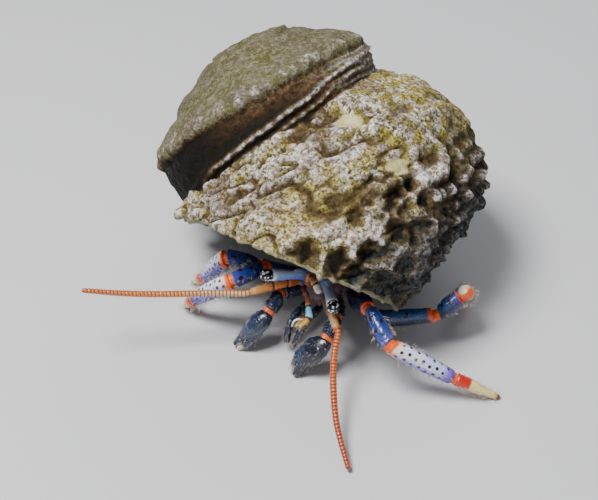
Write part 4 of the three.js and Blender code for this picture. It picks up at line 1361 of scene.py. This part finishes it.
def skin_cores():
    """Rods that together fill the trunk, the limbs' roots and the joints; and where the joints are."""
    (front, back), (root, *_, tail) = THORAX[0], ABDOMEN[0]
    middle = between(front, back, 0.5)
    trunk = [(THORAX[0], np.array(THORAX[1]) * 0.97, 48),
             (ABDOMEN[0], np.array(ABDOMEN[1]) * 0.97, 60),
             ([back, between(back, root, 0.5), root], [(0.7, 0.6), (0.8, 0.62), (0.75, 0.6)], 48),
             ([tail, TAIL_FAN[0][0]], [(0.6, 0.5), (0.45, 0.3)], 48),
             (np.array(SHIELD[0]) - UNDER_SHIELD, np.array(SHIELD[1]) * (0.84, 0.8), 48)]
    cores = [rod(Path(points), sizes, ALONG_X, rows) for points, sizes, rows in trunk]
    joints = []

    def fold(before, joint, after, size):
        """A short spindle through a joint, inside the rims of its two plates."""
        before, joint, after = (np.array(p, float) for p in (before, joint, after))
        start, end = joint - unit(joint - before) * FOLD_REACH, joint + unit(after - joint) * FOLD_REACH
        cores.append(rod(Path([start, joint, end]), [size] * 3, LEG_ACROSS, rows=16, sides=24))
        joints.append(joint)

    for _, _, points in WALKING_LEGS:
        hip = points[0]
        root_points = [between(hip, middle, 0.6), hip, between(hip, points[1], 0.4)]
        cores.append(rod(Path(root_points), [LEG_ROOT] * 3, ALONG_Y))
        for i, part in ((2, "merus"), (3, "carpus"), (4, "propodus")):
            fold(*points[i - 1:i + 2], min(LEG_SIZES[part][-1]) * 0.86)
    for side, points in CLAW_ARMS:
        cores.append(rod(Path([between(points[0], middle, 0.5), points[0]]), [CLAW_ROOT] * 3, ALONG_Y))
        fold(*points[0:3], CLAW_FOLDS[0])
        fold(*points[1:4], CLAW_FOLDS[1])
        inward = np.array([-side[1] * KNUCKLE_IN, 0, 0])
        fold(points[2] + inward, points[3] + inward * 0.9, points[4] + inward, CLAW_FOLDS[2])

    roots = [(HEAD, base, (0.5, 0.3), ALONG_Z) for _, base, _ in EYES]
    roots += [(HEAD, stem[0], (0.45, 0.3), ALONG_Z) for _, stem, _ in ANTENNAE]
    roots += [(HEAD, points[0], (0.4, 0.18), ALONG_Z) for _, points in ANTENNULES]
    for side in (LEFT, RIGHT):
        roots.append((HEAD, limb_points(MOUTH_LIMB, side)[0], (0.4, 0.24), ALONG_Y))
        roots.append((back, limb_points(SMALL_LEG, side)[0], (0.4, 0.24), ALONG_Y))
    cores += [rod(Path([start, end]), sizes, across) for start, end, sizes, across in roots]
    return cores, joints


def build_skin():
    """One soft skin: the trunk and abdomen, the limbs' roots, and the folds inside every joint."""
    cores, joints = skin_cores()
    faces, count = [], 0
    for core in cores:
        faces += [tuple(i + count for i in face) for face in tube_faces(*core["shape"])]
        count += len(core["points"])
    points = np.concatenate([core["points"] for core in cores])
    solid = turned_outward(mesh_of("skin-cores", points, faces, origin=False))
    mesh = remeshed(solid, SKIN_VOXEL, rounds=4)
    points = vectors_of(mesh, "co")
    nearest = np.min([np.linalg.norm(points - joint, axis=1) for joint in joints], axis=0)
    folds = np.abs(noise(points * (1, 1, 2.2), 0.7, 44))
    # The creases of the folds are painted darker, as painted shade, and sunk a little.
    set_masks(mesh, {"joint": smoothstep(nearest, 0.95, 0.55), "bead": folds})
    moved(mesh, points - vectors_of(mesh, "normal") * (0.05 * smoothstep(folds, 0.35, 0))[:, None])
    mesh.materials.append(materials["soft-skin"])
    skin = linked("soft-skin", mesh)
    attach(skin, "root")
    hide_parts("thorax", "abdomen")


# ------------------------------------------------------------------ bristles

BRISTLE_RADIUS = 0.015
# A bristle has three rings of three points and a tip: how far up each is, how thick there, and its angle,
# which for the tip only places it on the map.
UP = np.array([0, 0, 0, 0.4, 0.4, 0.4, 0.78, 0.78, 0.78, 1])[:, None]
THICK = np.array([1, 1, 1, 0.8, 0.8, 0.8, 0.45, 0.45, 0.45, 0])[:, None]
ROUND = 2 * np.pi / 3 * np.array([0, 1, 2, 0, 1, 2, 0, 1, 2, 0.9])[:, None]
BRISTLE_FACES = [(0, 1, 4, 3), (1, 2, 5, 4), (2, 0, 3, 5), (3, 4, 7, 6), (4, 5, 8, 7), (5, 3, 6, 8),
                 (6, 7, 9), (7, 8, 9), (8, 6, 9), (2, 1, 0)]
PATCH = 0.003                       # size of a bristle's patch on the coat's map
STRIPS = 8                          # the map has this many squares each way, one for each row of tufts
rng = np.random.default_rng(2210)

# Tufts grow at angles from a piece's top, spread about them, over a range of its length: so many along
# it, so many bristles in each, so long, and leaning so far to its tip.
LEG_TUFTS = {
    "merus": [((150, -150), 14, (0.25, 0.95), 6, 3, 0.55, 0.7)],
    "carpus": [((35, -60, 140, -140), 16, (0.2, 0.95), 6, 3, 0.5, 0.7)],
    "propodus": [((130, 165, -165, -130), 12, (0.1, 0.98), 9, 4, 0.72, 0.7),
                 ((30, -40, 85, -85), 10, (0.1, 0.98), 8, 2, 0.42, 0.7)],
    "dactyl": [((50, 120, 170, -170, -120, -50), 12, (0.08, 0.9), 9, 4, 0.5, 0.7)],
}
CLAW_TUFTS = {"claw": [(range(0, 360, 40), 14, (0.15, 0.92), 6, 2, 0.32, 0.9)],
              "mouth-limb": [(range(0, 360, 45), 14, (0.3, 1.0), 9, 3, 0.4, 1.1)]}
STEM_TUFTS = {"antenna-stem": [((60, 150, -60, -150), 14, (0.3, 0.98), 6, 3, 0.32, 1.2)]}
BRUSH_TUFTS = {"antennule-right": [(range(90, 280, 15), 8, (0.80, 0.98), 10, 3, 0.32, 1.2)],
               "antennule-left": [((180, 160, -160), 10, (0.86, 0.98), 5, 3, 0.2, 1.6)]}
COATS = [("bristles-legs", "bristle", "leg_pale", LEG_TUFTS),
         ("bristles-claws", "bristle-claw", "claw", CLAW_TUFTS),
         ("bristles-head", "bristle", "antenna_base", STEM_TUFTS),
         ("antennule-brushes", "antennule-brush", "feeler", BRUSH_TUFTS)]


class Coat:
    """Bristles gathered into one mesh, each with its place on the unwrap of the piece it grows on."""

    def __init__(self):
        self.points, self.faces, self.uv, self.strips = [], [], [], 0

    def add(self, root, heading, bend, length, radius, place):
        start = len(self.points) * len(UP)
        wide = unit(np.cross(heading, (0.31, 0.52, 0.79)))
        deep = np.cross(heading, wide)
        centre = root + heading * length * UP + bend * length * UP * UP
        self.points.append(centre + radius * THICK * (wide * np.cos(ROUND) + deep * np.sin(ROUND)))
        self.uv.append(place + PATCH * np.hstack([ROUND / (2 * np.pi) - 0.3, UP - 0.5]))
        self.faces += [tuple(start + i for i in face) for face in BRISTLE_FACES]

    def grow(self, piece, angles, spread, u_range, tufts, per_tuft, length, lean):
        rows, sides = piece["shape"]
        grid = piece["points"].reshape(rows, sides, 3)
        out = piece["out"].reshape(rows, sides, 3)
        square = np.array([self.strips % STRIPS, self.strips // STRIPS])
        self.strips += 1
        for degrees in angles:
            for i in range(tufts):
                u = u_range[0] + (u_range[1] - u_range[0]) * (i + rng.uniform(0.1, 0.9)) / tufts
                turn = (degrees + 90 + rng.normal(0, spread)) % 360
                row = int(np.clip(np.searchsorted(piece["u"][::sides], u), 1, rows - 2))
                column = int(turn / 360 * sides) % sides
                root, normal = grid[row, column], out[row, column]
                tangent = unit(piece["centre"][row + 1] - piece["centre"][row - 1])
                place = (square + 0.05 + 0.9 * np.array([u, turn / 360])) / STRIPS
                for _ in range(per_tuft):
                    heading = unit(normal + tangent * lean + rng.normal(0, 0.22, 3))
                    size = length * rng.uniform(0.55, 1.1)
                    bend = tangent * 0.25 + rng.normal(0, 0.1, 3)
                    start = root - normal * 0.03 + rng.normal(0, 0.03, 3)
                    low = start[2] + heading[2] * size + bend[2] * size
                    if low < 0.03:
                        # It would reach the floor, so it is shorter.
                        size *= max((start[2] - 0.03) / max(start[2] - low, 0.05), 0.15)
                    self.add(start, heading, bend, size, BRISTLE_RADIUS * rng.uniform(0.7, 1.15), place)

    def finish(self, name, paint, slot):
        obj = mesh_of(name, above_floor(np.concatenate(self.points), 0.01), self.faces)
        layer = obj.data.uv_layers.new(name="OFBake")
        layer.data.foreach_set("uv", np.concatenate(self.uv)[corners_of(obj.data)].ravel())
        shade_smooth(obj.data)
        set_masks(obj.data, {"tip": np.tile(UP[:, 0], len(self.points))})
        obj.data.materials.append(materials[paint])
        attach(obj, "root")


def build_bristles(pieces):
    """The coats, on (kind, piece) pairs."""
    for name, paint, slot, tufts in COATS:
        coat = Coat()
        for kind, piece in pieces:
            for row in tufts.get(kind, ()):
                coat.grow(piece, *row)
        coat.finish(name, paint, slot)


def build_crab():
    pieces = []
    for name, side, joints in WALKING_LEGS:
        pieces += build_walking_leg(name, side, joints)
    for side, joints in CLAW_ARMS:
        pieces += build_claw_arm(side, joints)
    for side, base, tip in EYES:
        build_eye(side, base, tip)
    pieces += [("antenna-stem", build_antenna(*antenna)) for antenna in ANTENNAE]
    # The right antennule's brush grows first.
    pieces += [(f"antennule-{side[0]}", build_antennule(side, points)) for side, points in ANTENNULES][::-1]
    pieces += [("mouth-limb", palp) for palp in build_small_parts()]
    build_skin()
    build_bristles(pieces)


# ------------------------------------------------------------------ camera, lights and floor

def build_stage():
    azimuth, elevation = math.radians(CAMERA["azimuth"]), math.radians(CAMERA["elevation"])
    back = Vector((math.sin(azimuth) * math.cos(elevation), -math.cos(azimuth) * math.cos(elevation),
                   math.sin(elevation)))
    target = Vector((np.array(CAMERA["target"]) + shift) * MM)
    data = bpy.data.cameras.new("camera")
    data.lens = CAMERA["lens"]
    data.sensor_width = CAMERA["sensor"]
    data.clip_start = 0.002
    data.clip_end = 10
    camera = linked("camera", data)
    camera.location = target + back * CAMERA["distance"] * MM
    camera.rotation_euler = back.to_track_quat("Z", "Y").to_euler()
    bpy.context.scene.camera = camera

    corners = [(x * FLOOR_REACH, y * FLOOR_REACH, 0) for x, y in ((-1, -1), (1, -1), (1, 1), (-1, 1))]
    floor = mesh_of("floor", corners, [(0, 1, 2, 3)])
    paint = bpy.data.materials.new("floor")
    paint.use_nodes = True
    shader = paint.node_tree.nodes["Principled BSDF"]
    shader.inputs["Base Color"].default_value = (0.62, 0.62, 0.63, 1)
    shader.inputs["Roughness"].default_value = 0.8
    floor.data.materials.append(paint)

    world = bpy.data.worlds.new("world")
    world.use_nodes = True
    sky = world.node_tree.nodes["Background"]
    sky.inputs["Color"].default_value = (0.75, 0.80, 0.90, 1)
    sky.inputs["Strength"].default_value = 0.25
    bpy.context.scene.world = world
    for name, place, size, power in LAMPS:
        light = bpy.data.lights.new(name, "AREA")
        light.size = size * MM
        light.energy = power
        lamp = linked(name, light)
        lamp.location = Vector(place) * MM
        lamp.rotation_euler = (lamp.location - target).to_track_quat("Z", "Y").to_euler()


mix_paints()
build_shell()
build_crab()
build_stage()
